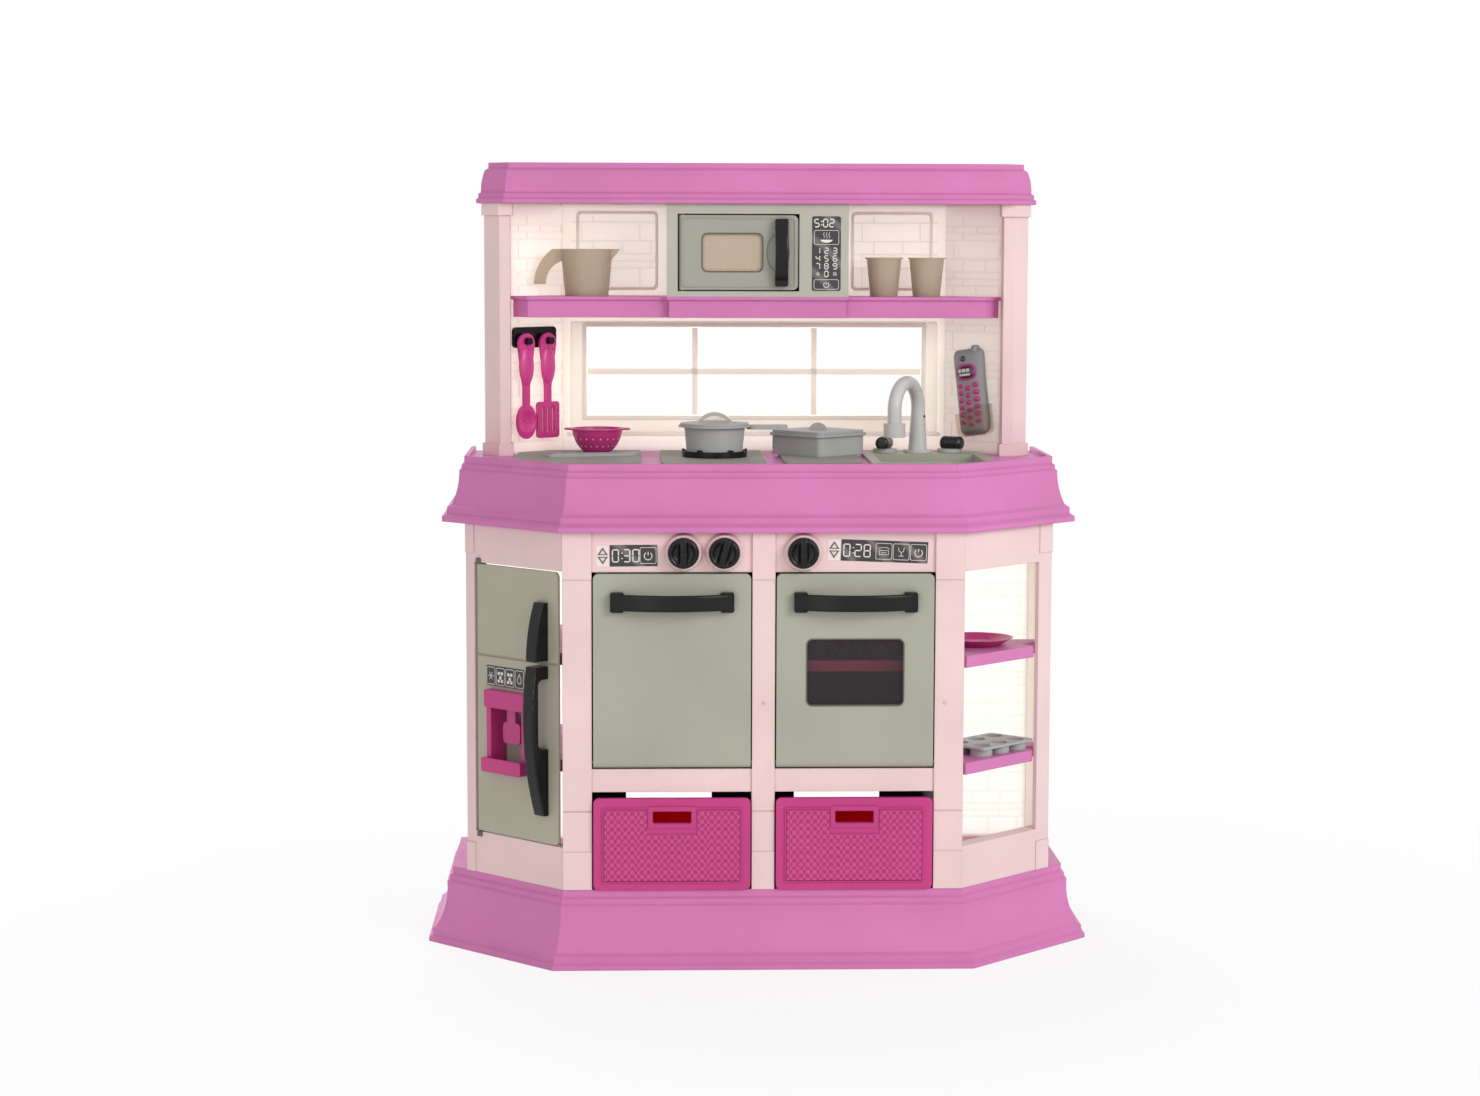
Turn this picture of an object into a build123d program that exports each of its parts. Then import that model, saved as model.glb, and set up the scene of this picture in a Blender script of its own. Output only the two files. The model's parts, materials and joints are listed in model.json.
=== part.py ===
from build123d import *
import os
from math import cos, radians, sin, sqrt, tan

# Overall plan and levels, millimetres
overall_width = 750
overall_depth = 320
front_share = 0.616
base_height = 84
cabinet_height = 395
counter_height = 73
rim_height = 5
hutch_height = 289
cornice_height = 46

# Moulded edges and walls
wall = 3
base_flare = 27
counter_inset = 17.5
counter_flare = 25
cornice_flare = 14
base_feet = ((7, 4), (10, 4.5))
base_heads = ((10, 3.5), (7, 3))
base_hollow = 0.05
counter_feet = ((9, 5.5), (10, 5.5))
counter_heads = ((9.5, 3), (6, 2.5))
counter_hollow = 0.03
cornice_feet = ((6, 2.5), (6.5, 3))
cornice_heads = ((8.5, 4),)
cornice_hollow = -0.03
ledge_inset = 3
ledge_slope = 0.6

# Clearances
door_gap = 1.5
pin_clearance = 0.1
loose_clearance = 0.4
slide_clearance = 0.3

# Cabinet front
cabinet_inset = 27
cabinet_side_inset = 45
frame_depth = 18
post_width = 32
centre_post_width = 25
post_proud = 2
block_proud = 1.2
block_height = 52
rear_block_height = 33
foot_block_height = 42
seam_level = 171
drawer_opening_height = 108.5
rail_height = 25.5
door_opening_height = 217
partition_thickness = 4
rack_setback = 10
rack_bars = 7
rack_slot_width = 12
rack_slot_margin = 20
rack_lip_height = 12

# Control knobs
knob_radius = 16.5
knob_height = 15
knob_rounding = 6
knob_pointer_length = 18
knob_pointer_width = 5
knob_pointer_rise = 2
knob_shaft_radius = 4
knob_level = 457
knob_places = (-88, -43.5, 42.5)
collar_foot_radius = 21
collar_top_radius = 19
collar_height = 11
collar_recess = 4

# Drop-down doors and their bow handles
door_thickness = 12
door_corner = 6
door_pin_radius = 2
door_pin_reach = 2.5
door_rim = 5
window_width = 105
window_height = 72
window_level = 325
window_lap = 4
pane_thickness = 2
handle_span = 120
handle_level = 403
handle_reach = 20
strap_width = 18
strap_thickness = 6
strap_rounding = 0.4
foot_width = 15
foot_length = 22
foot_height = 6
foot_corner = 2.5

# Corner bays on the chamfers
fridge_post_width = 14
shelf_post_width = 23
shelf_jamb = 5
bay_bottom = 131
bay_top = 436
bay_shelf_levels = (209, 328)
shelf_edge = 13
open_shelf_setback = 4
open_shelf_back = 15
fridge_shelf_setback = 26

# Fridge door
fridge_free_edge = 6.5
fridge_pivot_inset = 7
fridge_barrel_radius = 5
fridge_proud = 0.5
fridge_panel = 3.5
fridge_split_level = 333
fridge_split_width = 3
fridge_split_depth = 1.5
fridge_rim_height = 4
dispenser_width = 56
dispenser_height = 84
dispenser_offset = 50
dispenser_level = 250
dispenser_flange = 4
dispenser_depth = 22
cheek_rise = 5
hood_height = 20
hood_rise = 9
tray_lip_height = 16
tray_rise = 14
paddle_width = 28
paddle_neck_width = 13
paddle_foot_height = 24
paddle_height = 50
paddle_thickness = 4
paddle_depth = 5
paddle_pin_radius = 1.5
fridge_handle_along = 30
fridge_strap_width = 16
fridge_handle_tip = 7
fridge_handle_reach = 19
fridge_handle_rounding = 1.5
upper_handle_top = 400
upper_handle_reach = 16
lower_handle_bottom = 164
lower_handle_reach = 23
grip_gap_bottom = 238
grip_gap_top = 316
grip_gap_depth = 15
grip_gap_corner = 7

# Drawers
drawer_height = 102
drawer_face = 6
drawer_proud = 4
drawer_tray_height = 66
drawer_tray_length = 150
drawer_wall = 2.5
drawer_slot_width = 42
drawer_slot_height = 13
drawer_slot_corner = 1.2
drawer_slot_drop = 21
drawer_panel_margin = 11
drawer_panel_rise = 0.8

# Back openings behind the drawers
back_opening_width = 102
back_opening_height = 60
back_opening_foot = 16

# Counter plates, hob and sink
plate_thickness = 3
plate_corner = 5
plate_setback = 25
plate_margin = 10
drain_plate_gap = 23
drain_plate_side = 8
drain_plate_front = -68
burner_plate_width = 116
burner_plate_x = -53
burner_plate_front = -72
hob_plate_width = 88
hob_plate_x = 70
hob_plate_front = -48
grate_radius = 37
grate_setback = 125
grate_thickness = 3
grate_prongs = 6
prong_height = 9
prong_width = 5
prong_length = 3
sink_gap = 8
sink_side = 21
sink_front = -72
bowl_back_setback = 88
bowl_depth = 46
bowl_margin = 9

# Faucet and taps
faucet_side = 74
faucet_setback = 58
faucet_turn = 31
flange_radius = 16.5
flange_height = 3
stem_foot_radius = 11
stem_radius = 8
stem_height = 48
neck_radius = 31
neck_drop = 14
nozzle_radius = 12.5
nozzle_height = 16
spigot_radius = 6
spigot_length = 15
nut_radius = 12
nut_height = 5
tap_spread = 37.5
tap_setback = 52
tap_radius = 8
tap_length = 27
tap_tail = 10
tap_sink = 1.5
left_tap_turn = -20
right_tap_turn = 55
tap_base_radius = 14
tap_base_height = 4
tap_rounding = 4
tap_pin_radius = 3

# Hutch
wall_setback = 10
wall_side_inset = 150.5
splay_depth = 58.5
post_reach = 23
post_front_width = 12
post_chamfer = 18
post_lap = 6.5
capital_height = 14
capital_proud = 3
hutch_window_side = 28.5
hutch_window_bottom = 590
hutch_window_top = 692
mullion_width = 8
mullion_spacing = 70
shelf_level = 730
shelf_height = 24
shelf_lip = 4
shelf_overhang = 2.5
shelf_depth = 78
shelf_corner_inset = 19
microwave_proud = 10
microwave_half = 104
microwave_front_depth = 8
microwave_case_margin = 4
microwave_door_left = -90
microwave_door_width = 136
microwave_door_bottom = 738
microwave_door_height = 85
microwave_door_thickness = 8
microwave_door_proud = 1
microwave_pin_radius = 1.5
microwave_window_x = -29
microwave_window_width = 68
microwave_window_height = 42
microwave_handle_x = 27
microwave_handle_half = 31
microwave_handle_reach = 14
microwave_strap_width = 15
finger_scoop_half = 13
finger_scoop_reach = 22
finger_scoop_shift = 4
finger_scoop_depth = 1.8
cornice_depth = 105
cornice_side_inset = 53
cornice_chamfer = 32

# Brick relief
groove_depth = 0.8
groove_width = 1.4
brick_length = 34
brick_courses = (22, 8, 8, 15)

# Utensil rack and utensils
rack_start = 1
rack_length = 67
rack_level = 682
rack_height = 24
rack_thickness = 4
peg_radius = 4
peg_length = 13
peg_places = (15, 49)
peg_level = 678
utensil_offset = 3
utensil_thickness = 4
utensil_top = 9
utensil_grip_width = 25
utensil_grip_length = 62
utensil_neck_width = 9
utensil_length = 122
utensil_neck_end = 94
spoon_width = 29
spoon_length = 40
spoon_scoop_radius = 38
spoon_scoop_depth = 2.2
spatula_width = 34
spatula_length = 42
spatula_slot = 4

# Phone and holder
phone_width = 44
phone_thickness = 14
phone_length = 100
phone_tilt = 8
phone_along = 55
phone_foot = 570
holder_height = 36
holder_wall = 2

# Loose pots and tableware
pot_x = -50
pot_radius = 34.5
pot_height = 33
pot_rim_radius = 41
pot_wall = 2.2
pot_handle_length = 42
pot_handle_width = 17
pot_handle_thickness = 5
pot_lid_rise = 4
pot_lid_handle_span = 40
pot_lid_handle_rise = 12
pot_lid_strap = 4
casserole_side = 78
casserole_height = 25
casserole_setback = 85
casserole_rim = 3
casserole_corner = 7
casserole_lid_thickness = 3
casserole_knob_width = 20
casserole_knob_rise = 8
casserole_knob_half = 4
colander_side = 40.5
colander_setback = 58
colander_rim_radius = 29
colander_foot_radius = 15
colander_height = 28
colander_wall = 2
colander_bulge = 3
colander_lug = 9
colander_lug_width = 16
colander_hole_radius = 1.5
colander_holes = 12
jug_side = 28.5
jug_setback = 42
jug_top_radius = 30
jug_foot_radius = 25
jug_height = 54
jug_wall = 2
jug_handle_reach = 31
jug_spout = 9
jug_spout_half = 9
jug_grip_half = 5
jug_grip_tip = 14
cup_sides = (76, 26.5)
cup_setback = 42
cup_top_radius = 22
cup_foot_radius = 15.8
cup_height = 45
cup_wall = 1.8
cutlery_length = 104
cutlery_width = 12
cutlery_thickness = 3
cutlery_turn = 14
blade_width = 9.6
fork_neck_width = 6
fork_head_length = 29
fork_head_width = 15.6
tine_gap = 2.4
tine_length = 31
knife_place = (34.5, -128)
fork_place = (38.5, -108)
dish_radius = 41
dish_foot_radius = 26
dish_height = 9
dish_along = 91
dish_depth = 55
muffin_length = 92
muffin_width = 62
muffin_rim = 2.5
muffin_cup_radius = 12.5
muffin_cup_depth = 9
muffin_along = 91
muffin_depth = 38

# Screws
screw_head_radius = 3.5
screw_head_height = 1.8
screw_shank_radius = 1.3
screw_length = 12
screw_levels = (150, 400)

# Worked-out levels and lines
diagonal = sqrt(0.5)
mitre = tan(radians(22.5))
base_front_width = front_share * overall_width
front_y = -overall_depth / 2
back_y = overall_depth / 2
wall_y = back_y - wall_setback
base_half = overall_width / 2
counter_bottom = base_height + cabinet_height
counter_level = counter_bottom + counter_height
deck_level = counter_level - rim_height
cornice_bottom = deck_level + hutch_height
cornice_level = cornice_bottom + cornice_height
corner_y = front_y + cabinet_inset
corner_half = base_front_width / 2 - mitre * cabinet_inset
cabinet_half = base_half - cabinet_side_inset
side_y = corner_y + cabinet_half - corner_half
frame_back_y = corner_y + frame_depth
rail_bottom = base_height + drawer_opening_height
rail_top = rail_bottom + rail_height
fascia_bottom = rail_top + door_opening_height
opening_inner = centre_post_width / 2
opening_outer = corner_half - post_width
opening_centre = (opening_inner + opening_outer) / 2
opening_width = opening_outer - opening_inner
door_width = opening_width - 2 * door_gap
door_bottom = rail_top + door_gap
door_top = fascia_bottom - door_gap
pivot_y = corner_y + post_proud + door_pin_radius
pivot_level = door_bottom + door_thickness / 2
door_front = pivot_y - door_thickness / 2
chamfer_length = (cabinet_half - corner_half) / diagonal
fridge_bay_width = chamfer_length - fridge_post_width
shelf_bay_width = chamfer_length - shelf_post_width
fridge_pivot_along = fridge_bay_width - fridge_pivot_inset
dispenser_along = fridge_pivot_along - dispenser_offset
panel_half = cabinet_half - wall
bay_place = partition_thickness / 2 + opening_outer + post_width / 3
wall_half = base_half - wall_side_inset
splay_half = wall_half + splay_depth
splay_y = wall_y - splay_depth
splay_length = splay_depth / diagonal
post_front = splay_y - post_reach
post_back = splay_y + post_lap
post_half = splay_half + post_front_width + post_chamfer
shelf_front = wall_y - shelf_depth
shelf_corner = splay_half - shelf_corner_inset
microwave_front_y = shelf_front - microwave_proud
hutch_window_half = wall_half - hutch_window_side
cornice_front = back_y - cornice_depth
cornice_half = base_half - cornice_side_inset
cornice_front_half = cornice_half - cornice_chamfer
plate_level = deck_level + plate_thickness
plate_back = wall_y - plate_setback
grate_level = plate_level + grate_thickness
grate_y = wall_y - grate_setback
drain_plate_inner = burner_plate_x - burner_plate_width / 2 - drain_plate_gap
drain_plate_outer = drain_plate_side - splay_half
sink_inner = hob_plate_x + hob_plate_width / 2 + sink_gap
sink_outer = splay_half - sink_side
bowl_back = wall_y - bowl_back_setback
faucet_x = sink_outer - faucet_side
faucet_y = wall_y - faucet_setback
tap_y = wall_y - tap_setback
casserole_y = wall_y - casserole_setback
colander_x = colander_side - wall_half
colander_y = wall_y - colander_setback
jug_x = jug_side - wall_half
jug_y = wall_y - jug_setback
cup_y = wall_y - cup_setback


def plan_ring(inset, back=back_y):
    """Plan outline of the cabinet's mouldings, pulled in from the foot of the base."""
    half = base_front_width / 2 - mitre * inset
    outer = base_half - inset
    near = front_y + inset
    end = near + outer - half
    return [(-outer, back), (-outer, end), (-half, near), (half, near), (outer, end), (outer, back)]


def cornice_ring(inset):
    """Plan outline of the cornice, pulled in from its lower edge."""
    half = cornice_front_half - mitre * inset
    outer = cornice_half - inset
    near = cornice_front + inset
    end = near + outer - half
    return [(-outer, back_y), (-outer, end), (-half, near), (half, near), (outer, end), (outer, back_y)]


def front_plane(y):
    """Plane that faces the front, with X to the right and Z up."""
    return Plane(origin=(0, y, 0), x_dir=(1, 0, 0), z_dir=(0, -1, 0))


def chamfer_plane(side, depth=0):
    """Plane of a chamfer; local X runs along it, to the right as it is seen."""
    x, y = chamfer_point(side, 0, depth)
    return Plane(origin=(x, y, 0), x_dir=(diagonal, side * diagonal, 0), z_dir=(side * diagonal, -diagonal, 0))


def chamfer_point(side, along, depth):
    """Plan point at a distance along a chamfer from the front corner, and a depth behind its face."""
    x = corner_half + (along - depth) * diagonal
    return side * x, corner_y + (along + depth) * diagonal


def splay_plane(side, out=0):
    """Inner face of a hutch side panel; local X runs to the right as it is seen."""
    start = (-splay_half, splay_y) if side < 0 else (wall_half, wall_y)
    normal = (-side * diagonal, -diagonal, 0)
    origin = (start[0] + out * normal[0], start[1] + out * normal[1], 0)
    return Plane(origin=origin, x_dir=(diagonal, -side * diagonal, 0), z_dir=normal)


def fill_outline(points):
    """Closed flat face with straight sides."""
    with BuildLine() as outline:
        Polyline(*points, close=True)
    make_face(outline.edges())


def cove(start, end, depth):
    """Hollow curve of a moulding between two points of its section."""
    run = end[0] - start[0]
    rise = end[1] - start[1]
    length = sqrt(run * run + rise * rise)
    middle = ((start[0] + end[0]) / 2 + depth * rise / length, (start[1] + end[1]) / 2 - depth * run / length)
    ThreePointArc(start, middle, end)


def moulding_section(height, flare, thickness, hollow, feet, heads):
    """Section of a moulded edge: a curved face between steps at its foot and its head, as (rise, step)."""
    foot = [(0, 0)]
    for rise, step in feet:
        inset, level = foot[-1]
        foot += [(inset, level + rise - step * ledge_slope), (inset + step, level + rise)]
    head = [(flare, height)]
    for rise, step in heads:
        inset, level = head[-1]
        head += [(inset, level - rise + step * ledge_slope), (inset - step, level - rise)]
    toe, low = foot[-1]
    high = head[-1][1]
    sag = hollow * height
    with BuildLine() as section:
        Polyline(*foot)
        cove(foot[-1], head[-1], sag)
        Polyline(*head[::-1], (flare + thickness, height), (flare + thickness, high))
        cove((flare + thickness, high), (toe + thickness, low), -sag)
        Polyline((toe + thickness, low), (toe + thickness, 0), (0, 0))
    make_face(section.edges())


def brick_grooves(width, bottom, top, start=0):
    """Flat pattern of the joints between courses of bricks."""
    level = bottom
    course = 0
    while level < top:
        height = min(brick_courses[course % len(brick_courses)], top - level)
        with Locations((start + width / 2, level)):
            Rectangle(width, groove_width)
        shift = brick_length * (0.35 + 0.4 * (course % 2))
        while shift < width:
            with Locations((start + shift, level + height / 2)):
                Rectangle(groove_width, height)
            shift += brick_length * (1 + course % 3)
        level += height
        course += 1


def bow_strap(start, crest, end, across, width):
    """Band of a handle, swept along a bow."""
    with BuildLine() as bow:
        ThreePointArc(start, crest, end)
    with BuildSketch(Plane(origin=start, x_dir=across, z_dir=bow.line % 0)) as strap:
        RectangleRounded(width, strap_thickness, strap_thickness * strap_rounding)
    sweep(strap.sketch, path=bow.line)


def handle_foot(place, across, outward, width, length, height):
    """Block that carries the end of a handle on its door; it starts at the door's face."""
    with BuildSketch(Plane(origin=place, x_dir=across, z_dir=outward)) as pad:
        RectangleRounded(width, length, foot_corner)
    extrude(pad.sketch, amount=height)


def save(builder, name):
    """Label a finished piece and write its file."""
    builder.part.label = name
    export_step(builder.part, f"parts/{name}.step")


os.makedirs("parts", exist_ok=True)

# Base plinth: moulded skirt, deck and rear wall
with BuildPart() as base_plinth:
    with BuildLine():
        Polyline(*plan_ring(0))
    with BuildSketch(Plane(origin=(-base_half, back_y, 0), x_dir=(1, 0, 0), z_dir=(0, -1, 0))):
        moulding_section(base_height, base_flare, wall, base_hollow, base_feet, base_heads)
    sweep(transition=Transition.RIGHT)
    with BuildSketch(Plane.XY.offset(base_height - wall)):
        fill_outline(plan_ring(base_flare))
    extrude(amount=wall)
    with BuildSketch(front_plane(back_y)):
        with Locations((0, base_height / 2)):
            Rectangle(2 * (base_half - base_flare), base_height)
    extrude(amount=wall)
save(base_plinth, "base_plinth")

# Front frame: three posts, two rails, fascia with the knob collars
post_centres = (-corner_half + post_width / 2, 0, corner_half - post_width / 2)
post_widths = (post_width, centre_post_width, post_width)
with BuildPart() as front_frame:
    with BuildSketch(Plane.XY.offset(base_height)):
        back_half = corner_half - mitre * frame_depth
        fill_outline([(-corner_half, corner_y), (corner_half, corner_y),
                      (back_half, frame_back_y), (-back_half, frame_back_y)])
    extrude(amount=cabinet_height)
    with BuildSketch(front_plane(corner_y)):
        with Locations((-opening_centre, 0), (opening_centre, 0)):
            with Locations((0, (rail_bottom + counter_bottom) / 2)):
                Rectangle(opening_width, counter_bottom - rail_bottom)
    extrude(amount=-post_proud, mode=Mode.SUBTRACT)
    with BuildSketch(front_plane(corner_y)):
        with Locations((-opening_centre, 0), (opening_centre, 0)):
            with Locations((0, (base_height + rail_bottom) / 2)):
                Rectangle(opening_width, drawer_opening_height)
            with Locations((0, (rail_top + fascia_bottom) / 2)):
                Rectangle(opening_width, door_opening_height)
    extrude(amount=-frame_depth, mode=Mode.SUBTRACT)
    for centre, width in zip(post_centres, post_widths):
        with BuildSketch(front_plane(corner_y)):
            with Locations((centre, counter_bottom - block_height / 2)):
                Rectangle(width, block_height)
            with Locations((centre, base_height + foot_block_height / 2)):
                Rectangle(width, foot_block_height)
        extrude(amount=block_proud)
        with BuildSketch(front_plane(frame_back_y)):
            with Locations((centre * (1 - mitre * frame_depth / corner_half),
                            (base_height + fascia_bottom) / 2)):
                Rectangle(width - 2 * wall - mitre * frame_depth * abs(centre) / corner_half,
                          fascia_bottom - base_height - 2 * wall)
        extrude(amount=frame_depth - wall, mode=Mode.SUBTRACT)
    with BuildSketch(front_plane(frame_back_y)):
        with Locations((0, (fascia_bottom + counter_bottom) / 2)):
            Rectangle(2 * opening_outer, counter_bottom - fascia_bottom - 2 * wall)
    extrude(amount=frame_depth - post_proud - wall, mode=Mode.SUBTRACT)
    with BuildSketch(front_plane(corner_y)):
        with Locations(*[(centre, seam_level) for centre in post_centres]):
            Rectangle(post_width, groove_width)
    extrude(amount=-groove_depth, mode=Mode.SUBTRACT)
    for place in knob_places:
        with BuildSketch(front_plane(corner_y + post_proud)):
            with Locations((place, knob_level)):
                Circle(collar_foot_radius)
        with BuildSketch(front_plane(corner_y + post_proud - collar_height)):
            with Locations((place, knob_level)):
                Circle(collar_top_radius)
        loft(ruled=True)
    for place in knob_places:
        with BuildSketch(front_plane(corner_y + post_proud - collar_height)):
            with Locations((place, knob_level)):
                Circle(knob_radius + loose_clearance)
        extrude(amount=-collar_recess, mode=Mode.SUBTRACT)
        with BuildSketch(front_plane(corner_y + post_proud - collar_height)):
            with Locations((place, knob_level)):
                Circle(knob_shaft_radius + pin_clearance)
        extrude(amount=-frame_depth - collar_height, mode=Mode.SUBTRACT)
    with BuildSketch(Plane.YZ.offset(-opening_outer - wall)):
        with Locations((pivot_y, pivot_level)):
            Circle(door_pin_radius + pin_clearance)
    extrude(amount=2 * (opening_outer + wall), mode=Mode.SUBTRACT)
save(front_frame, "front_frame")


# Corner frames: top band, bottom band and rear post; the fridge frame has the bores of its door's pins
fridge_pivot = chamfer_point(-1, fridge_pivot_along, fridge_barrel_radius - fridge_proud)
for side, name, bay_width in ((-1, "fridge_frame", fridge_bay_width), (1, "shelf_frame", shelf_bay_width)):
    with BuildPart() as corner_frame:
        with BuildSketch(Plane.XY.offset(base_height)):
            fill_outline([(side * corner_half, corner_y), (side * cabinet_half, side_y),
                          (side * (cabinet_half - frame_depth), side_y + mitre * frame_depth),
                          (side * (corner_half - mitre * frame_depth), frame_back_y)])
        extrude(amount=cabinet_height)
        with BuildSketch(chamfer_plane(side)):
            reach = bay_width + 2 * frame_depth
            with Locations((side * (bay_width - reach / 2), (bay_bottom + bay_top) / 2)):
                Rectangle(reach, bay_top - bay_bottom)
        extrude(amount=-2 * frame_depth, mode=Mode.SUBTRACT)
        with BuildSketch(chamfer_plane(side, frame_depth)):
            for low, high in ((base_height, bay_bottom), (bay_top, counter_bottom)):
                with Locations((side * (bay_width + frame_depth) / 2, (low + high) / 2)):
                    Rectangle(bay_width - frame_depth, high - low - 2 * wall)
        extrude(amount=frame_depth - wall, mode=Mode.SUBTRACT)
        with BuildSketch(chamfer_plane(side)):
            for middle in (base_height + rear_block_height / 2, counter_bottom - rear_block_height / 2):
                with Locations((side * (bay_width + chamfer_length) / 2, middle)):
                    Rectangle(chamfer_length - bay_width, rear_block_height)
        extrude(amount=block_proud)
        if side < 0:
            with BuildSketch(Plane.XY.offset(bay_bottom - wall)):
                with Locations(fridge_pivot):
                    Circle(door_pin_radius + pin_clearance)
            extrude(amount=bay_top - bay_bottom + 2 * wall, mode=Mode.SUBTRACT)
        else:
            with BuildSketch(chamfer_plane(side, shelf_jamb)):
                with Locations((bay_width + frame_depth, (bay_bottom + bay_top) / 2)):
                    Rectangle(4 * frame_depth, bay_top - bay_bottom)
            extrude(amount=-2 * frame_depth, mode=Mode.SUBTRACT)
    save(corner_frame, name)

# Lower side panels, behind the corner frames
with BuildPart() as lower_side_panels:
    with BuildSketch(Plane.XY.offset(base_height)):
        for side in (-1, 1):
            fill_outline([(side * cabinet_half, side_y), (side * cabinet_half, back_y),
                          (side * panel_half, back_y), (side * panel_half, side_y + mitre * wall)])
    extrude(amount=cabinet_height)
save(lower_side_panels, "lower_side_panels")

# Lower back panel with brick relief in the open bay and two openings behind the drawers
screw_places = [(x, z) for x in (-bay_place, 0, bay_place) for z in screw_levels]
with BuildPart() as lower_back_panel:
    with BuildSketch(Plane.XY.offset(base_height)):
        with Locations((0, wall_y + wall / 2)):
            Rectangle(2 * panel_half, wall)
    extrude(amount=cabinet_height)
    with BuildSketch(front_plane(wall_y)):
        opening_level = base_height + back_opening_foot + back_opening_height / 2
        with Locations((-opening_centre, opening_level), (opening_centre, opening_level)):
            Rectangle(back_opening_width, back_opening_height)
        with Locations(*screw_places):
            Circle(screw_shank_radius)
    extrude(amount=-wall, mode=Mode.SUBTRACT)
    with BuildSketch(front_plane(wall_y)):
        brick_start = bay_place + partition_thickness / 2
        brick_grooves(panel_half - brick_start, base_height + wall, counter_bottom - wall, brick_start)
    extrude(amount=-groove_depth, mode=Mode.SUBTRACT)
save(lower_back_panel, "lower_back_panel")

# Partitions between the bays
with BuildPart() as partitions:
    with BuildSketch(Plane.XY.offset(base_height)):
        with Locations(*[(x, (frame_back_y + wall_y) / 2) for x in (-bay_place, 0, bay_place)]):
            Rectangle(partition_thickness, wall_y - frame_back_y)
    extrude(amount=cabinet_height)
    with BuildSketch(front_plane(wall_y)):
        with Locations(*screw_places):
            Circle(screw_shank_radius)
    extrude(amount=screw_length, mode=Mode.SUBTRACT)
save(partitions, "partitions")

# Floors under the oven and the dishwasher
bay_clear = bay_place - partition_thickness
with BuildPart() as compartment_floors:
    with BuildSketch(Plane.XY.offset(rail_top - wall)):
        with Locations((-bay_place / 2, (frame_back_y + wall_y) / 2),
                       (bay_place / 2, (frame_back_y + wall_y) / 2)):
            Rectangle(bay_clear, wall_y - frame_back_y)
    extrude(amount=wall)
save(compartment_floors, "compartment_floors")


def bay_shelf(side, setback):
    """Plan of a corner shelf: the fridge's reach the back panel, the open bay's are shallower."""
    inner = bay_place + partition_thickness / 2
    mouth = (fridge_bay_width if side < 0 else shelf_bay_width) - wall
    rear = frame_depth + open_shelf_setback
    begin = mitre * rear + slide_clearance
    start = chamfer_point(1, begin, setback)
    neck = chamfer_point(1, begin, rear)
    end = chamfer_point(1, mouth, setback)
    back_neck = chamfer_point(1, mouth, rear)
    sides = [start, end]
    if setback < rear:
        sides.append(back_neck)
    along_side = panel_half - slide_clearance
    sides.append((along_side, sides[-1][1] + along_side - sides[-1][0]))
    back = wall_y if side < 0 else open_shelf_back
    sides.append((along_side, back))
    sides.append((inner, back))
    first = neck if setback < rear else start
    sides.append((inner, first[1] + first[0] - inner))
    if setback < rear:
        sides.append(neck)
    return [(side * x, y) for x, y in sides]


# Four corner shelves: two in the fridge, two in the open bay
with BuildPart() as inner_shelves:
    for level in bay_shelf_levels:
        for side, setback in ((-1, fridge_shelf_setback), (1, open_shelf_setback)):
            with BuildSketch(Plane.XY.offset(level)):
                fill_outline(bay_shelf(side, setback))
            extrude(amount=shelf_edge)
            with BuildSketch(Plane.XY.offset(level)):
                fill_outline(bay_shelf(side, setback))
                offset(amount=-wall, mode=Mode.REPLACE)
            extrude(amount=shelf_edge - wall, mode=Mode.SUBTRACT)
save(inner_shelves, "inner_shelves")

# Slotted racks in the oven and the dishwasher
rack_front_y = frame_back_y + rack_setback
with BuildPart() as cavity_racks:
    for side in (-1, 1):
        with BuildSketch(Plane.XY.offset(window_level - wall)):
            with Locations((side * bay_place / 2, (rack_front_y + wall_y) / 2)):
                Rectangle(bay_clear, wall_y - rack_front_y)
                with GridLocations(bay_clear / rack_bars, 0, rack_bars - 1, 1):
                    SlotOverall(wall_y - rack_front_y - 2 * rack_slot_margin, rack_slot_width, rotation=90,
                                mode=Mode.SUBTRACT)
        extrude(amount=wall)
        with BuildSketch(Plane.XY.offset(window_level - wall)):
            with Locations((side * bay_place / 2, rack_front_y + wall)):
                Rectangle(bay_clear, 2 * wall)
        extrude(amount=rack_lip_height)
save(cavity_racks, "cavity_racks")

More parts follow.
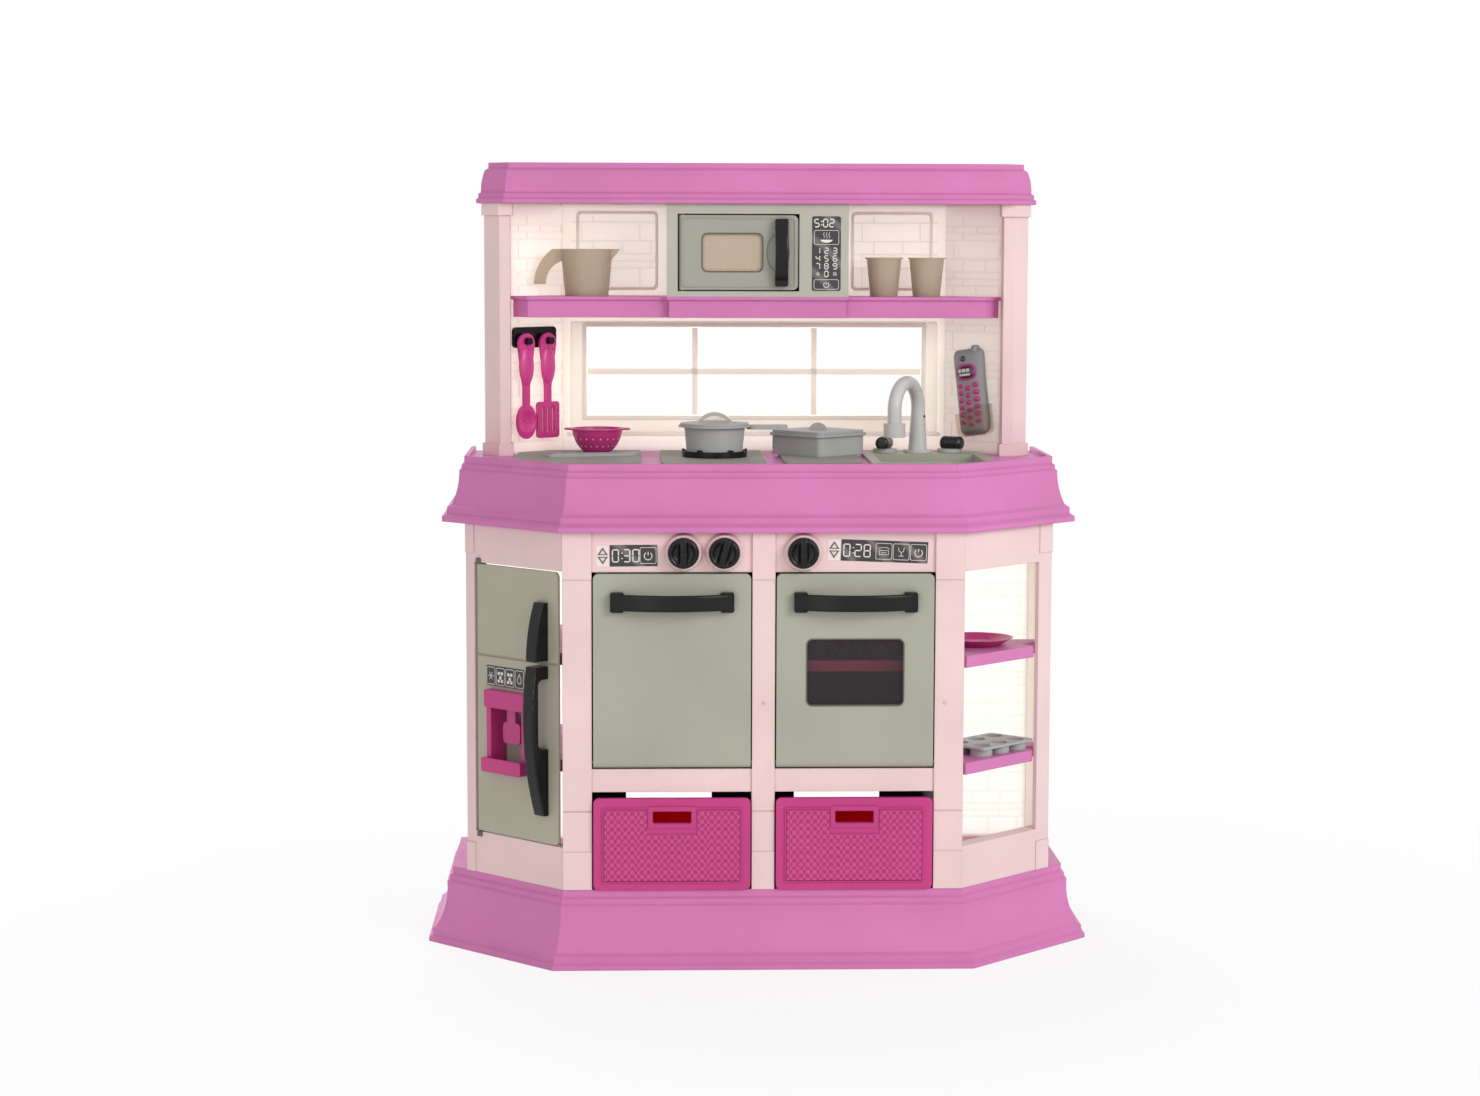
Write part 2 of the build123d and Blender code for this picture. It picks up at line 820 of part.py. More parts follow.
# Counter: moulded edge, deck with the sink's cut-out, rear wall, ledge that rests on the frames
bowl_x = (sink_inner + sink_outer) / 2
bowl_width = sink_outer - sink_inner - 2 * bowl_margin
bowl_front = sink_front + bowl_margin
bowl_y = (bowl_front + bowl_back) / 2
with BuildPart() as counter_top:
    with BuildLine():
        Polyline(*[(x, y, counter_bottom) for x, y in plan_ring(counter_inset)])
    start = plan_ring(counter_inset)[0]
    with BuildSketch(Plane(origin=(start[0], start[1], counter_bottom), x_dir=(1, 0, 0), z_dir=(0, -1, 0))):
        moulding_section(counter_height, counter_flare, rim_height, counter_hollow, counter_feet,
                         counter_heads)
    sweep(transition=Transition.RIGHT)
    with BuildSketch(Plane.XY.offset(deck_level - wall)):
        fill_outline(plan_ring(counter_inset + counter_flare + wall))
        with Locations((bowl_x, bowl_y)):
            Rectangle(bowl_width + 2 * slide_clearance, bowl_back - bowl_front + 2 * slide_clearance,
                      mode=Mode.SUBTRACT)
        with Locations((faucet_x, faucet_y)):
            Circle(spigot_radius + pin_clearance, mode=Mode.SUBTRACT)
        with Locations((faucet_x - tap_spread, tap_y), (faucet_x + tap_spread, tap_y)):
            Circle(tap_pin_radius + pin_clearance, mode=Mode.SUBTRACT)
    extrude(amount=wall)
    with BuildSketch(front_plane(back_y)):
        with Locations((0, (counter_bottom + deck_level) / 2)):
            Rectangle(2 * (base_half - counter_inset - counter_flare - rim_height),
                      deck_level - counter_bottom)
    extrude(amount=wall)
    with BuildSketch(Plane.XY.offset(counter_bottom)):
        fill_outline(plan_ring(counter_inset + ledge_inset, wall_y + wall))
    extrude(amount=wall)
    with BuildSketch(Plane.XY.offset(counter_bottom)):
        fill_outline(plan_ring(cabinet_inset + frame_depth, wall_y))
    extrude(amount=wall, mode=Mode.SUBTRACT)
save(counter_top, "counter_top")


def counter_edge(x, y):
    """Move a plan point back until it clears the counter's rim by the plate margin."""
    inset = counter_inset + counter_flare + rim_height + plate_margin
    half = base_front_width / 2 - mitre * inset
    return x, max(y, front_y + inset + max(0, abs(x) - half))


# Grey plates let on to the deck: drain plate, burner plate, hob plate
with BuildPart() as counter_plates:
    with BuildSketch(Plane.XY.offset(deck_level)):
        bend = drain_plate_outer + counter_edge(drain_plate_outer, drain_plate_front)[1] - drain_plate_front
        splay_cut = splay_y + (drain_plate_outer + splay_half) - plate_margin
        fill_outline([(drain_plate_inner, drain_plate_front), (bend, drain_plate_front),
                      counter_edge(drain_plate_outer, drain_plate_front), (drain_plate_outer, splay_cut),
                      (drain_plate_outer + plate_back - splay_cut, plate_back),
                      (drain_plate_inner, plate_back)])
        for x, width, near in ((burner_plate_x, burner_plate_width, burner_plate_front),
                               (hob_plate_x, hob_plate_width, hob_plate_front)):
            with Locations((x, (near + plate_back) / 2)):
                RectangleRounded(width, plate_back - near, plate_corner)
    extrude(amount=plate_thickness)
save(counter_plates, "counter_plates")

# Burner grate: a disc with a ring of short prongs around the pot
with BuildPart() as burner_grate:
    with BuildSketch(Plane.XY.offset(plate_level)):
        with Locations((pot_x, grate_y)):
            Circle(grate_radius)
    extrude(amount=grate_thickness)
    with BuildSketch(Plane.XY.offset(grate_level)):
        with Locations((pot_x, grate_y)):
            with PolarLocations(grate_radius - prong_length / 2, grate_prongs):
                Rectangle(prong_length, prong_width)
    extrude(amount=prong_height - grate_thickness)
    with BuildSketch(Plane.XY.offset(grate_level)):
        with Locations((pot_x, grate_y)):
            Circle(grate_radius)
            Circle(grate_radius - prong_length, mode=Mode.SUBTRACT)
    extrude(amount=grate_thickness / 2)
save(burner_grate, "burner_grate")

# Sink: rim plate, bowl and the ledge that carries faucet and taps
with BuildPart() as sink_basin:
    with BuildSketch(Plane.XY.offset(deck_level)):
        near_corner = counter_edge(sink_outer, sink_front)
        fill_outline([(sink_inner, sink_front), (sink_outer - (near_corner[1] - sink_front), sink_front),
                      near_corner, (sink_outer, splay_y + splay_half - sink_outer - plate_margin),
                      (sink_outer - plate_back + splay_y + splay_half - sink_outer - plate_margin, plate_back),
                      (sink_inner, plate_back)])
    extrude(amount=plate_thickness)
    with BuildSketch(Plane.XY.offset(plate_level - bowl_depth)):
        with Locations((bowl_x, bowl_y)):
            Rectangle(bowl_width, bowl_back - bowl_front)
    extrude(amount=bowl_depth)
    with BuildSketch(Plane.XY.offset(plate_level - bowl_depth + wall)):
        with Locations((bowl_x, bowl_y)):
            RectangleRounded(bowl_width - 2 * wall, bowl_back - bowl_front - 2 * wall, plate_corner)
    extrude(amount=bowl_depth, mode=Mode.SUBTRACT)
    with BuildSketch(Plane.XY.offset(deck_level)):
        with Locations((faucet_x, faucet_y)):
            Circle(spigot_radius + pin_clearance)
        with Locations((faucet_x - tap_spread, tap_y), (faucet_x + tap_spread, tap_y)):
            Circle(tap_pin_radius + pin_clearance)
    extrude(amount=plate_thickness, mode=Mode.SUBTRACT)
save(sink_basin, "sink_basin")

# Gooseneck faucet: flange, stem, neck, nozzle and the spigot it turns on
spout = (-sin(radians(faucet_turn)), -cos(radians(faucet_turn)))
neck_level = plate_level + flange_height + stem_height
with BuildPart() as faucet:
    with BuildSketch(Plane.XY.offset(plate_level)):
        with Locations((faucet_x, faucet_y)):
            Circle(flange_radius)
    extrude(amount=flange_height)
    with BuildSketch(Plane.XY.offset(plate_level + flange_height)):
        with Locations((faucet_x, faucet_y)):
            Circle(stem_foot_radius)
    with BuildSketch(Plane.XY.offset(neck_level)):
        with Locations((faucet_x, faucet_y)):
            Circle(stem_radius)
    loft()
    far_x = faucet_x + 2 * neck_radius * spout[0]
    far_y = faucet_y + 2 * neck_radius * spout[1]
    with BuildLine() as neck:
        Line((faucet_x, faucet_y, neck_level - wall), (faucet_x, faucet_y, neck_level))
        ThreePointArc((faucet_x, faucet_y, neck_level),
                      ((faucet_x + far_x) / 2, (faucet_y + far_y) / 2, neck_level + neck_radius),
                      (far_x, far_y, neck_level))
        Line((far_x, far_y, neck_level), (far_x, far_y, neck_level - neck_drop))
    with BuildSketch(Plane(origin=(faucet_x, faucet_y, neck_level - wall))):
        Circle(stem_radius)
    sweep(path=neck.line)
    with BuildSketch(Plane.XY.offset(neck_level - neck_drop - nozzle_height)):
        with Locations((far_x, far_y)):
            Circle(nozzle_radius)
    extrude(amount=nozzle_height)
    with BuildSketch(Plane.XY.offset(neck_level - neck_drop - nozzle_height)):
        with Locations((far_x, far_y)):
            Circle(stem_radius)
    extrude(amount=nozzle_height / 2, mode=Mode.SUBTRACT)
    with BuildSketch(Plane.XY.offset(plate_level - spigot_length)):
        with Locations((faucet_x, faucet_y)):
            Circle(spigot_radius)
    extrude(amount=spigot_length)
save(faucet, "faucet")

# Nut that holds the faucet under the deck
with BuildPart() as faucet_nut:
    with BuildSketch(Plane.XY.offset(deck_level - wall - slide_clearance - nut_height)):
        with Locations((faucet_x, faucet_y)):
            RegularPolygon(nut_radius, 6)
            Circle(spigot_radius, mode=Mode.SUBTRACT)
    extrude(amount=nut_height)
save(faucet_nut, "faucet_nut")


# Taps: a barrel lying on a round base, with the pin that it turns on
for side, name, turn in ((-1, "left_tap", left_tap_turn), (1, "right_tap", right_tap_turn)):
    tap_x = faucet_x + side * tap_spread
    barrel_axis = (sin(radians(turn)), -cos(radians(turn)), 0)
    barrel_start = (tap_x - barrel_axis[0] * tap_tail, tap_y - barrel_axis[1] * tap_tail,
                    plate_level + tap_base_height + tap_radius - tap_sink)
    with BuildPart() as tap:
        with BuildSketch(Plane(origin=barrel_start, z_dir=barrel_axis)):
            Circle(tap_radius)
        extrude(amount=tap_length)
        fillet(edges().filter_by(GeomType.CIRCLE), radius=tap_rounding)
        with BuildSketch(Plane.XY.offset(plate_level)):
            with Locations((tap_x, tap_y)):
                Circle(tap_base_radius)
        extrude(amount=tap_base_height)
        with BuildSketch(Plane.XY.offset(deck_level - wall)):
            with Locations((tap_x, tap_y)):
                Circle(tap_pin_radius)
        extrude(amount=wall + plate_thickness)
    save(tap, name)


def hutch_post_plan(side, proud):
    """Plan of a hutch post; its front and chamfer stand proud for the capital and the plinth."""
    points = [(splay_half - proud, post_front - proud),
              (splay_half + post_front_width + mitre * proud, post_front - proud),
              (post_half + proud, post_front + post_chamfer - mitre * proud),
              (post_half + proud, post_back),
              (splay_half + post_back - splay_y, post_back),
              (splay_half - proud, splay_y - proud)]
    return [(side * x, y) for x, y in points]


# Hutch posts with their plinths and capitals
with BuildPart() as hutch_posts:
    for side in (-1, 1):
        for level, height, proud in ((deck_level, hutch_height, 0),
                                     (deck_level, capital_height, capital_proud),
                                     (cornice_bottom - capital_height, capital_height, capital_proud)):
            with BuildSketch(Plane.XY.offset(level)):
                fill_outline(hutch_post_plan(side, proud))
            extrude(amount=height)
save(hutch_posts, "hutch_posts")

# Hutch back panel: six-pane window and brick relief beside the microwave
with BuildPart() as hutch_back_panel:
    with BuildSketch(Plane.XY.offset(deck_level)):
        fill_outline([(-wall_half, wall_y), (wall_half, wall_y),
                      (wall_half + mitre * wall, wall_y + wall), (-wall_half - mitre * wall, wall_y + wall)])
    extrude(amount=hutch_height)
    with BuildSketch(front_plane(wall_y)):
        with Locations((0, (hutch_window_bottom + hutch_window_top) / 2)):
            Rectangle(2 * hutch_window_half, hutch_window_top - hutch_window_bottom)
            Rectangle(2 * hutch_window_half, mullion_width, mode=Mode.SUBTRACT)
            with Locations((-mullion_spacing, 0), (mullion_spacing, 0)):
                Rectangle(mullion_width, hutch_window_top - hutch_window_bottom, mode=Mode.SUBTRACT)
    extrude(amount=-wall, mode=Mode.SUBTRACT)
    relief_width = wall_half - microwave_half - 2 * plate_margin
    with BuildSketch(front_plane(wall_y)):
        for start in (microwave_half + plate_margin, -wall_half + plate_margin):
            brick_grooves(relief_width, shelf_level + plate_margin, cornice_bottom - capital_height, start)
    extrude(amount=-groove_depth, mode=Mode.SUBTRACT)
save(hutch_back_panel, "hutch_back_panel")

# Splayed side panels of the hutch, bricked from the counter to the cornice
with BuildPart() as hutch_side_panels:
    for side in (-1, 1):
        with BuildSketch(Plane.XY.offset(deck_level)):
            fill_outline([(side * wall_half, wall_y), (side * splay_half, splay_y),
                          (side * (splay_half + wall * diagonal), splay_y + wall * diagonal),
                          (side * (wall_half + mitre * wall), wall_y + wall)])
        extrude(amount=hutch_height)
        with BuildSketch(splay_plane(side)):
            brick_grooves(splay_length, deck_level + capital_height, cornice_bottom - capital_height)
        extrude(amount=-groove_depth, mode=Mode.SUBTRACT)
save(hutch_side_panels, "hutch_side_panels")


def shelf_plan(inset):
    """Plan of the hutch shelf, with chamfered ends and a proud middle under the microwave."""
    end = splay_half - slide_clearance - inset
    near = shelf_front + inset
    corner = shelf_corner - mitre * inset
    middle = microwave_half - inset
    half = [(middle, near - microwave_proud), (middle, near), (corner, near), (end, near + end - corner),
            (end, splay_y + splay_half - 2 * slide_clearance - end),
            (wall_half, wall_y - 2 * slide_clearance)]
    return [(-x, y) for x, y in reversed(half)] + half


# Hutch shelf: lip, fascia, hollow underside
with BuildPart() as hutch_shelf:
    with BuildSketch(Plane.XY.offset(shelf_level - shelf_lip)):
        fill_outline(shelf_plan(0))
    extrude(amount=shelf_lip)
    with BuildSketch(Plane.XY.offset(shelf_level - shelf_height)):
        fill_outline(shelf_plan(shelf_overhang))
    extrude(amount=shelf_height - shelf_lip)
    with BuildSketch(Plane.XY.offset(shelf_level - shelf_height)):
        fill_outline(shelf_plan(shelf_overhang))
        offset(amount=-wall, mode=Mode.REPLACE)
    extrude(amount=shelf_height - shelf_lip, mode=Mode.SUBTRACT)
save(hutch_shelf, "hutch_shelf")

# Microwave case: open box behind the front
case_half = microwave_half - microwave_case_margin
case_height = cornice_bottom - shelf_level
case_front = microwave_front_y + microwave_front_depth
case_depth = wall_y - case_front
with BuildPart() as microwave_case:
    with BuildSketch(front_plane(wall_y)):
        with Locations((0, shelf_level + case_height / 2)):
            Rectangle(2 * case_half, case_height)
    extrude(amount=case_depth)
    with BuildSketch(front_plane(wall_y - wall)):
        with Locations((0, shelf_level + case_height / 2)):
            Rectangle(2 * case_half - 2 * wall, case_height - 2 * wall)
    extrude(amount=case_depth, mode=Mode.SUBTRACT)
save(microwave_case, "microwave_case")

# Microwave front with the door's opening and pin bores
mw_door_x = microwave_door_left + microwave_door_width / 2
mw_door_level = microwave_door_bottom + microwave_door_height / 2
mw_pivot_x = microwave_door_left + microwave_door_thickness / 2
mw_pivot_y = microwave_front_y + microwave_door_thickness / 2 - microwave_door_proud
mw_opening_height = microwave_door_height + 2 * door_gap
with BuildPart() as microwave_front:
    with BuildSketch(front_plane(case_front)):
        with Locations((0, shelf_level + case_height / 2)):
            Rectangle(2 * microwave_half, case_height)
        with Locations((mw_door_x, mw_door_level)):
            Rectangle(microwave_door_width + 2 * door_gap, mw_opening_height, mode=Mode.SUBTRACT)
    extrude(amount=microwave_front_depth)
    with BuildSketch(Plane.XY.offset(mw_door_level - mw_opening_height / 2 - door_pin_reach)):
        with Locations((mw_pivot_x, mw_pivot_y)):
            Circle(microwave_pin_radius + pin_clearance)
    extrude(amount=mw_opening_height + 2 * door_pin_reach, mode=Mode.SUBTRACT)
save(microwave_front, "microwave_front")

# Microwave door: round hinge edge, hollow back, window opening, finger scoop, two pins
mw_door_front = mw_pivot_y - microwave_door_thickness / 2
mw_door_back = mw_pivot_y + microwave_door_thickness / 2
with BuildPart() as microwave_door:
    with BuildSketch(Plane.XY.offset(microwave_door_bottom)):
        with Locations(((mw_pivot_x + microwave_door_left + microwave_door_width) / 2, mw_pivot_y)):
            Rectangle(microwave_door_left + microwave_door_width - mw_pivot_x, microwave_door_thickness)
        with Locations((mw_pivot_x, mw_pivot_y)):
            Circle(microwave_door_thickness / 2)
    extrude(amount=microwave_door_height)
    fillet(edges().filter_by(Axis.Y).group_by(Axis.X)[-1], radius=door_corner)
    with BuildSketch(front_plane(mw_door_back)):
        with Locations((mw_door_x + microwave_door_thickness / 2, mw_door_level)):
            Rectangle(microwave_door_width - 2 * door_rim - microwave_door_thickness,
                      microwave_door_height - 2 * door_rim)
    extrude(amount=microwave_door_thickness - wall, mode=Mode.SUBTRACT)
    with BuildSketch(front_plane(mw_door_back)):
        with Locations((microwave_window_x, mw_door_level)):
            RectangleRounded(microwave_window_width, microwave_window_height, door_corner)
    extrude(amount=microwave_door_thickness, mode=Mode.SUBTRACT)
    with BuildSketch(front_plane(mw_door_front)):
        with Locations((microwave_handle_x - finger_scoop_shift, mw_door_level)):
            Ellipse(finger_scoop_half, finger_scoop_reach)
    extrude(amount=-finger_scoop_depth, mode=Mode.SUBTRACT)
    with BuildSketch(Plane.XY.offset(microwave_door_bottom - door_gap - door_pin_reach)):
        with Locations((mw_pivot_x, mw_pivot_y)):
            Circle(microwave_pin_radius)
    extrude(amount=mw_opening_height + 2 * door_pin_reach)
save(microwave_door, "microwave_door")

# Microwave window, behind the door's front wall
with BuildPart() as microwave_window:
    with BuildSketch(front_plane(mw_door_front + wall)):
        with Locations((microwave_window_x, mw_door_level)):
            RectangleRounded(microwave_window_width + 2 * window_lap, microwave_window_height + 2 * window_lap,
                             door_corner)
    extrude(amount=-pane_thickness)
save(microwave_window, "microwave_window")

# Microwave handle: upright band on two feet
with BuildPart() as microwave_handle:
    strap_y = mw_door_front - foot_height
    handle_top = mw_door_level + microwave_handle_half
    handle_foot_level = mw_door_level - microwave_handle_half
    bow_strap((microwave_handle_x, strap_y, handle_top),
              (microwave_handle_x, mw_door_front - microwave_handle_reach, mw_door_level),
              (microwave_handle_x, strap_y, handle_foot_level), (1, 0, 0), microwave_strap_width)
    for level in (handle_top, handle_foot_level):
        handle_foot((microwave_handle_x, mw_door_front, level), (1, 0, 0), (0, -1, 0), microwave_strap_width,
                    foot_width, foot_height + strap_thickness / 2)
save(microwave_handle, "microwave_handle")

# Top cornice: moulded edge, underside, top and rear wall
with BuildPart() as top_cornice:
    with BuildLine():
        Polyline(*[(x, y, cornice_bottom) for x, y in cornice_ring(0)])
    with BuildSketch(Plane(origin=(-cornice_half, back_y, cornice_bottom), x_dir=(1, 0, 0), z_dir=(0, -1, 0))):
        moulding_section(cornice_height, cornice_flare, wall, cornice_hollow, cornice_feet, cornice_heads)
    sweep(transition=Transition.RIGHT)
    with BuildSketch(Plane.XY.offset(cornice_bottom)):
        fill_outline(cornice_ring(wall))
    extrude(amount=wall)
    with BuildSketch(Plane.XY.offset(cornice_level - wall)):
        fill_outline(cornice_ring(cornice_flare))
    extrude(amount=wall)
    with BuildSketch(front_plane(back_y)):
        with Locations((0, (cornice_bottom + cornice_level) / 2)):
            Rectangle(2 * (cornice_half - cornice_flare), cornice_height)
    extrude(amount=wall)
save(top_cornice, "top_cornice")

# Utensil rack on the left side panel: plate and two pegs
with BuildPart() as utensil_rack:
    with BuildSketch(splay_plane(-1)):
        with Locations((rack_start + rack_length / 2, rack_level)):
            RectangleRounded(rack_length, rack_height, plate_corner)
    extrude(amount=rack_thickness)
    with BuildSketch(splay_plane(-1)):
        with Locations(*[(place, peg_level) for place in peg_places]):
            Circle(peg_radius)
    extrude(amount=rack_thickness + peg_length)
save(utensil_rack, "utensil_rack")

# Phone holder: open pocket on the right side panel, tilted with the phone
phone_seat = (wall_half + phone_along * diagonal, wall_y - phone_along * diagonal, phone_foot)
phone_level_part = cos(radians(phone_tilt)) * diagonal
phone_across = (phone_level_part, -phone_level_part, sin(radians(phone_tilt)))
phone_plane = Plane(origin=phone_seat, x_dir=phone_across, z_dir=(-diagonal, -diagonal, 0))
holder_width = phone_width + 2 * (holder_wall + loose_clearance)
holder_depth = phone_thickness + 2 * (holder_wall + loose_clearance)
with BuildPart() as phone_holder:
    with BuildSketch(phone_plane):
        with Locations((0, holder_height / 2 - holder_wall)):
            Rectangle(holder_width, holder_height)
    extrude(amount=holder_depth)
    with BuildSketch(phone_plane.offset(holder_wall)):
        with Locations((0, holder_height / 2)):
            Rectangle(holder_width - 2 * holder_wall, holder_height)
    extrude(amount=holder_depth - 2 * holder_wall, mode=Mode.SUBTRACT)
save(phone_holder, "phone_holder")

# Phone: rounded handset with an aerial stub
with BuildPart() as phone:
    with BuildSketch(phone_plane.offset(holder_wall + loose_clearance)):
        with Locations((0, phone_length / 2)):
            RectangleRounded(phone_width, phone_length, plate_corner)
        with Locations((phone_width / 4, phone_length)):
            RectangleRounded(phone_width / 5, plate_corner * 2, plate_corner / 2)
    extrude(amount=phone_thickness)
save(phone, "phone")


# Control knobs: domed, with a pointer ridge and the shaft that each turns on
knob_seat = corner_y + post_proud - collar_height + collar_recess - slide_clearance
for place, name in zip(knob_places, ("left_knob", "middle_knob", "right_knob")):
    with BuildPart() as knob:
        with BuildSketch(front_plane(knob_seat)):
            with Locations((place, knob_level)):
                Circle(knob_radius)
        extrude(amount=knob_height)
        fillet(faces().sort_by(Axis.Y)[0].edges(), radius=knob_rounding)
        with BuildSketch(front_plane(knob_seat - knob_height)):
            with Locations((place, knob_level)):
                SlotOverall(knob_pointer_length, knob_pointer_width, rotation=90)
        extrude(amount=knob_pointer_rise, both=True)
        with BuildSketch(front_plane(knob_seat)):
            with Locations((place, knob_level)):
                Circle(knob_shaft_radius)
        extrude(amount=-frame_depth - collar_height + collar_recess)
    save(knob, name)

# Fridge door: panel, hinge barrel with pins, stiffening rim, dispenser opening
fridge_bottom = bay_bottom + door_gap
fridge_top = bay_top - door_gap
fridge_height = fridge_top - fridge_bottom
fridge_face = chamfer_plane(-1, -fridge_proud)
fridge_length = fridge_pivot_along - fridge_free_edge
with BuildPart() as fridge_door:
    with BuildSketch(fridge_face):
        with Locations((-(fridge_pivot_along + fridge_free_edge) / 2, (fridge_bottom + fridge_top) / 2)):
            Rectangle(fridge_length, fridge_height)
    extrude(amount=-fridge_panel)
    free_corners = edges().filter_by(Axis(fridge_face.origin, fridge_face.z_dir))
    fillet(free_corners.sort_by(Axis.Y)[:2], radius=door_corner)
    with BuildSketch(Plane.XY.offset(fridge_bottom)):
        with Locations(fridge_pivot):
            Circle(fridge_barrel_radius)
    extrude(amount=fridge_height)
    with BuildSketch(chamfer_plane(-1, fridge_panel - fridge_proud)):
        rim_length = fridge_length - 4 * fridge_barrel_radius - door_corner
        with Locations((-(fridge_pivot_along + fridge_free_edge) / 2 + door_corner / 2,
                        (fridge_bottom + fridge_top) / 2)):
            Rectangle(rim_length, fridge_height - 4 * door_corner)
            Rectangle(rim_length - 2 * wall, fridge_height - 4 * door_corner - 2 * wall, mode=Mode.SUBTRACT)
    extrude(amount=-fridge_rim_height)
    with BuildSketch(fridge_face):
        with Locations((-fridge_pivot_along / 2, fridge_split_level)):
            Rectangle(2 * fridge_pivot_along, fridge_split_width)
    extrude(amount=-fridge_split_depth, mode=Mode.SUBTRACT)
    with BuildSketch(fridge_face):
        with Locations((-dispenser_along, dispenser_level)):
            Rectangle(dispenser_width, dispenser_height)
    extrude(amount=-fridge_panel - fridge_rim_height, mode=Mode.SUBTRACT)
    with BuildSketch(Plane.XY.offset(fridge_bottom - door_gap - door_pin_reach)):
        with Locations(fridge_pivot):
            Circle(door_pin_radius)
    extrude(amount=fridge_height + 2 * (door_gap + door_pin_reach))
save(fridge_door, "fridge_door")


def fridge_fin(split, crest, tip):
    """Half of the fridge handle: a fin that is thickest at the door's split and thins to its tip."""
    with BuildSketch(fin_plane) as fin:
        with BuildLine() as outline:
            Polyline((0, tip), (0, split), (fridge_handle_reach, split))
            ThreePointArc((fridge_handle_reach, split), (crest, (split + tip) / 2), (fridge_handle_tip, tip))
            Line((fridge_handle_tip, tip), (0, tip))
        make_face(outline.edges())
    extrude(fin.sketch, amount=fridge_strap_width / 2, both=True)


# Fridge handle: a short half above the split and a long half below it with a gap for the fingers
handle_split_high = fridge_split_level + fridge_split_width
handle_split_low = fridge_split_level - fridge_split_width
fin_x, fin_y = chamfer_point(-1, fridge_handle_along, -fridge_proud)
fin_plane = Plane(origin=(fin_x, fin_y, 0), x_dir=(-diagonal, -diagonal, 0), z_dir=(-diagonal, diagonal, 0))
with BuildPart() as fridge_handle:
    fridge_fin(handle_split_high, upper_handle_reach, upper_handle_top)
    fridge_fin(handle_split_low, lower_handle_reach, lower_handle_bottom)
    with BuildSketch(fin_plane):
        with Locations((0, (grip_gap_bottom + grip_gap_top) / 2)):
            RectangleRounded(2 * grip_gap_depth, grip_gap_top - grip_gap_bottom, grip_gap_corner)
    extrude(amount=fridge_strap_width, both=True, mode=Mode.SUBTRACT)
    outer = edges().filter_by(lambda edge: fin_plane.to_local_coords(edge.center()).X > fridge_handle_tip)
    fillet(outer.filter_by(lambda edge: edge.length > upper_handle_top - handle_split_high),
           radius=fridge_handle_rounding)
save(fridge_handle, "fridge_handle")

# Dispenser: tub let into the fridge door, with cheeks, a hood and a drip tray that stand out
paddle_top = dispenser_level + dispenser_height / 2 - 2 * wall
frame_width = dispenser_width + 2 * dispenser_flange
frame_top = dispenser_level + dispenser_height / 2 + dispenser_flange
frame_bottom = dispenser_level - dispenser_height / 2 - dispenser_flange
pin_x, pin_y = chamfer_point(-1, dispenser_along, paddle_depth - fridge_proud)
pin_plane = Plane(origin=(pin_x, pin_y, paddle_top), z_dir=(diagonal, -diagonal, 0))
with BuildPart() as dispenser:
    with BuildSketch(fridge_face):
        with Locations((-dispenser_along, dispenser_level)):
            RectangleRounded(frame_width, frame_top - frame_bottom, plate_corner)
    extrude(amount=cheek_rise)
    with BuildSketch(fridge_face):
        with Locations((-dispenser_along, frame_top - hood_height / 2)):
            RectangleRounded(frame_width, hood_height, door_corner / 2)
    extrude(amount=hood_rise)
    with BuildSketch(fridge_face):
        with Locations((-dispenser_along, frame_bottom + tray_lip_height / 2)):
            RectangleRounded(frame_width, tray_lip_height, door_corner / 2)
    extrude(amount=tray_rise)
    with BuildSketch(fridge_face):
        with Locations((-dispenser_along, dispenser_level)):
            Rectangle(dispenser_width, dispenser_height)
    extrude(amount=-dispenser_depth)
    with BuildSketch(fridge_face.offset(wall - dispenser_depth)):
        with Locations((-dispenser_along, dispenser_level)):
            Rectangle(dispenser_width - 2 * wall, dispenser_height - 2 * wall)
    extrude(amount=dispenser_depth + cheek_rise - wall, mode=Mode.SUBTRACT)
    with BuildSketch(fridge_face.offset(cheek_rise)):
        with Locations((-dispenser_along, dispenser_level + (tray_lip_height - hood_height) / 2)):
            Rectangle(dispenser_width - 2 * wall, frame_top - frame_bottom - hood_height - tray_lip_height)
    extrude(amount=tray_rise, mode=Mode.SUBTRACT)
    with BuildSketch(Plane.XY.offset(frame_bottom + tray_lip_height)):
        tray_x, tray_y = chamfer_point(-1, dispenser_along, -fridge_proud - (tray_rise - wall) / 2)
        with Locations((tray_x, tray_y)):
            Rectangle(dispenser_width - 2 * wall, tray_rise - wall, rotation=-45)
    extrude(amount=wall - tray_lip_height, mode=Mode.SUBTRACT)
    with BuildSketch(pin_plane):
        Circle(paddle_pin_radius + pin_clearance)
    extrude(amount=dispenser_width / 2, both=True, mode=Mode.SUBTRACT)
save(dispenser, "dispenser")

# Dispenser paddle: a tab with a wide foot that hangs on a cross pin inside the tub
with BuildPart() as dispenser_paddle:
    with BuildSketch(fridge_face.offset(paddle_thickness / 2 - paddle_depth)):
        with Locations((-dispenser_along, paddle_top - paddle_height / 2)):
            Rectangle(paddle_neck_width, paddle_height)
        with Locations((-dispenser_along, paddle_top - paddle_height + paddle_foot_height / 2)):
            RectangleRounded(paddle_width, paddle_foot_height, plate_corner)
    extrude(amount=-paddle_thickness)
    with BuildSketch(pin_plane):
        Circle(paddle_thickness / 2)
    extrude(amount=paddle_width / 2, both=True)
    with BuildSketch(pin_plane):
        Circle(paddle_pin_radius)
    extrude(amount=dispenser_width / 2 - slide_clearance, both=True)
save(dispenser_paddle, "dispenser_paddle")


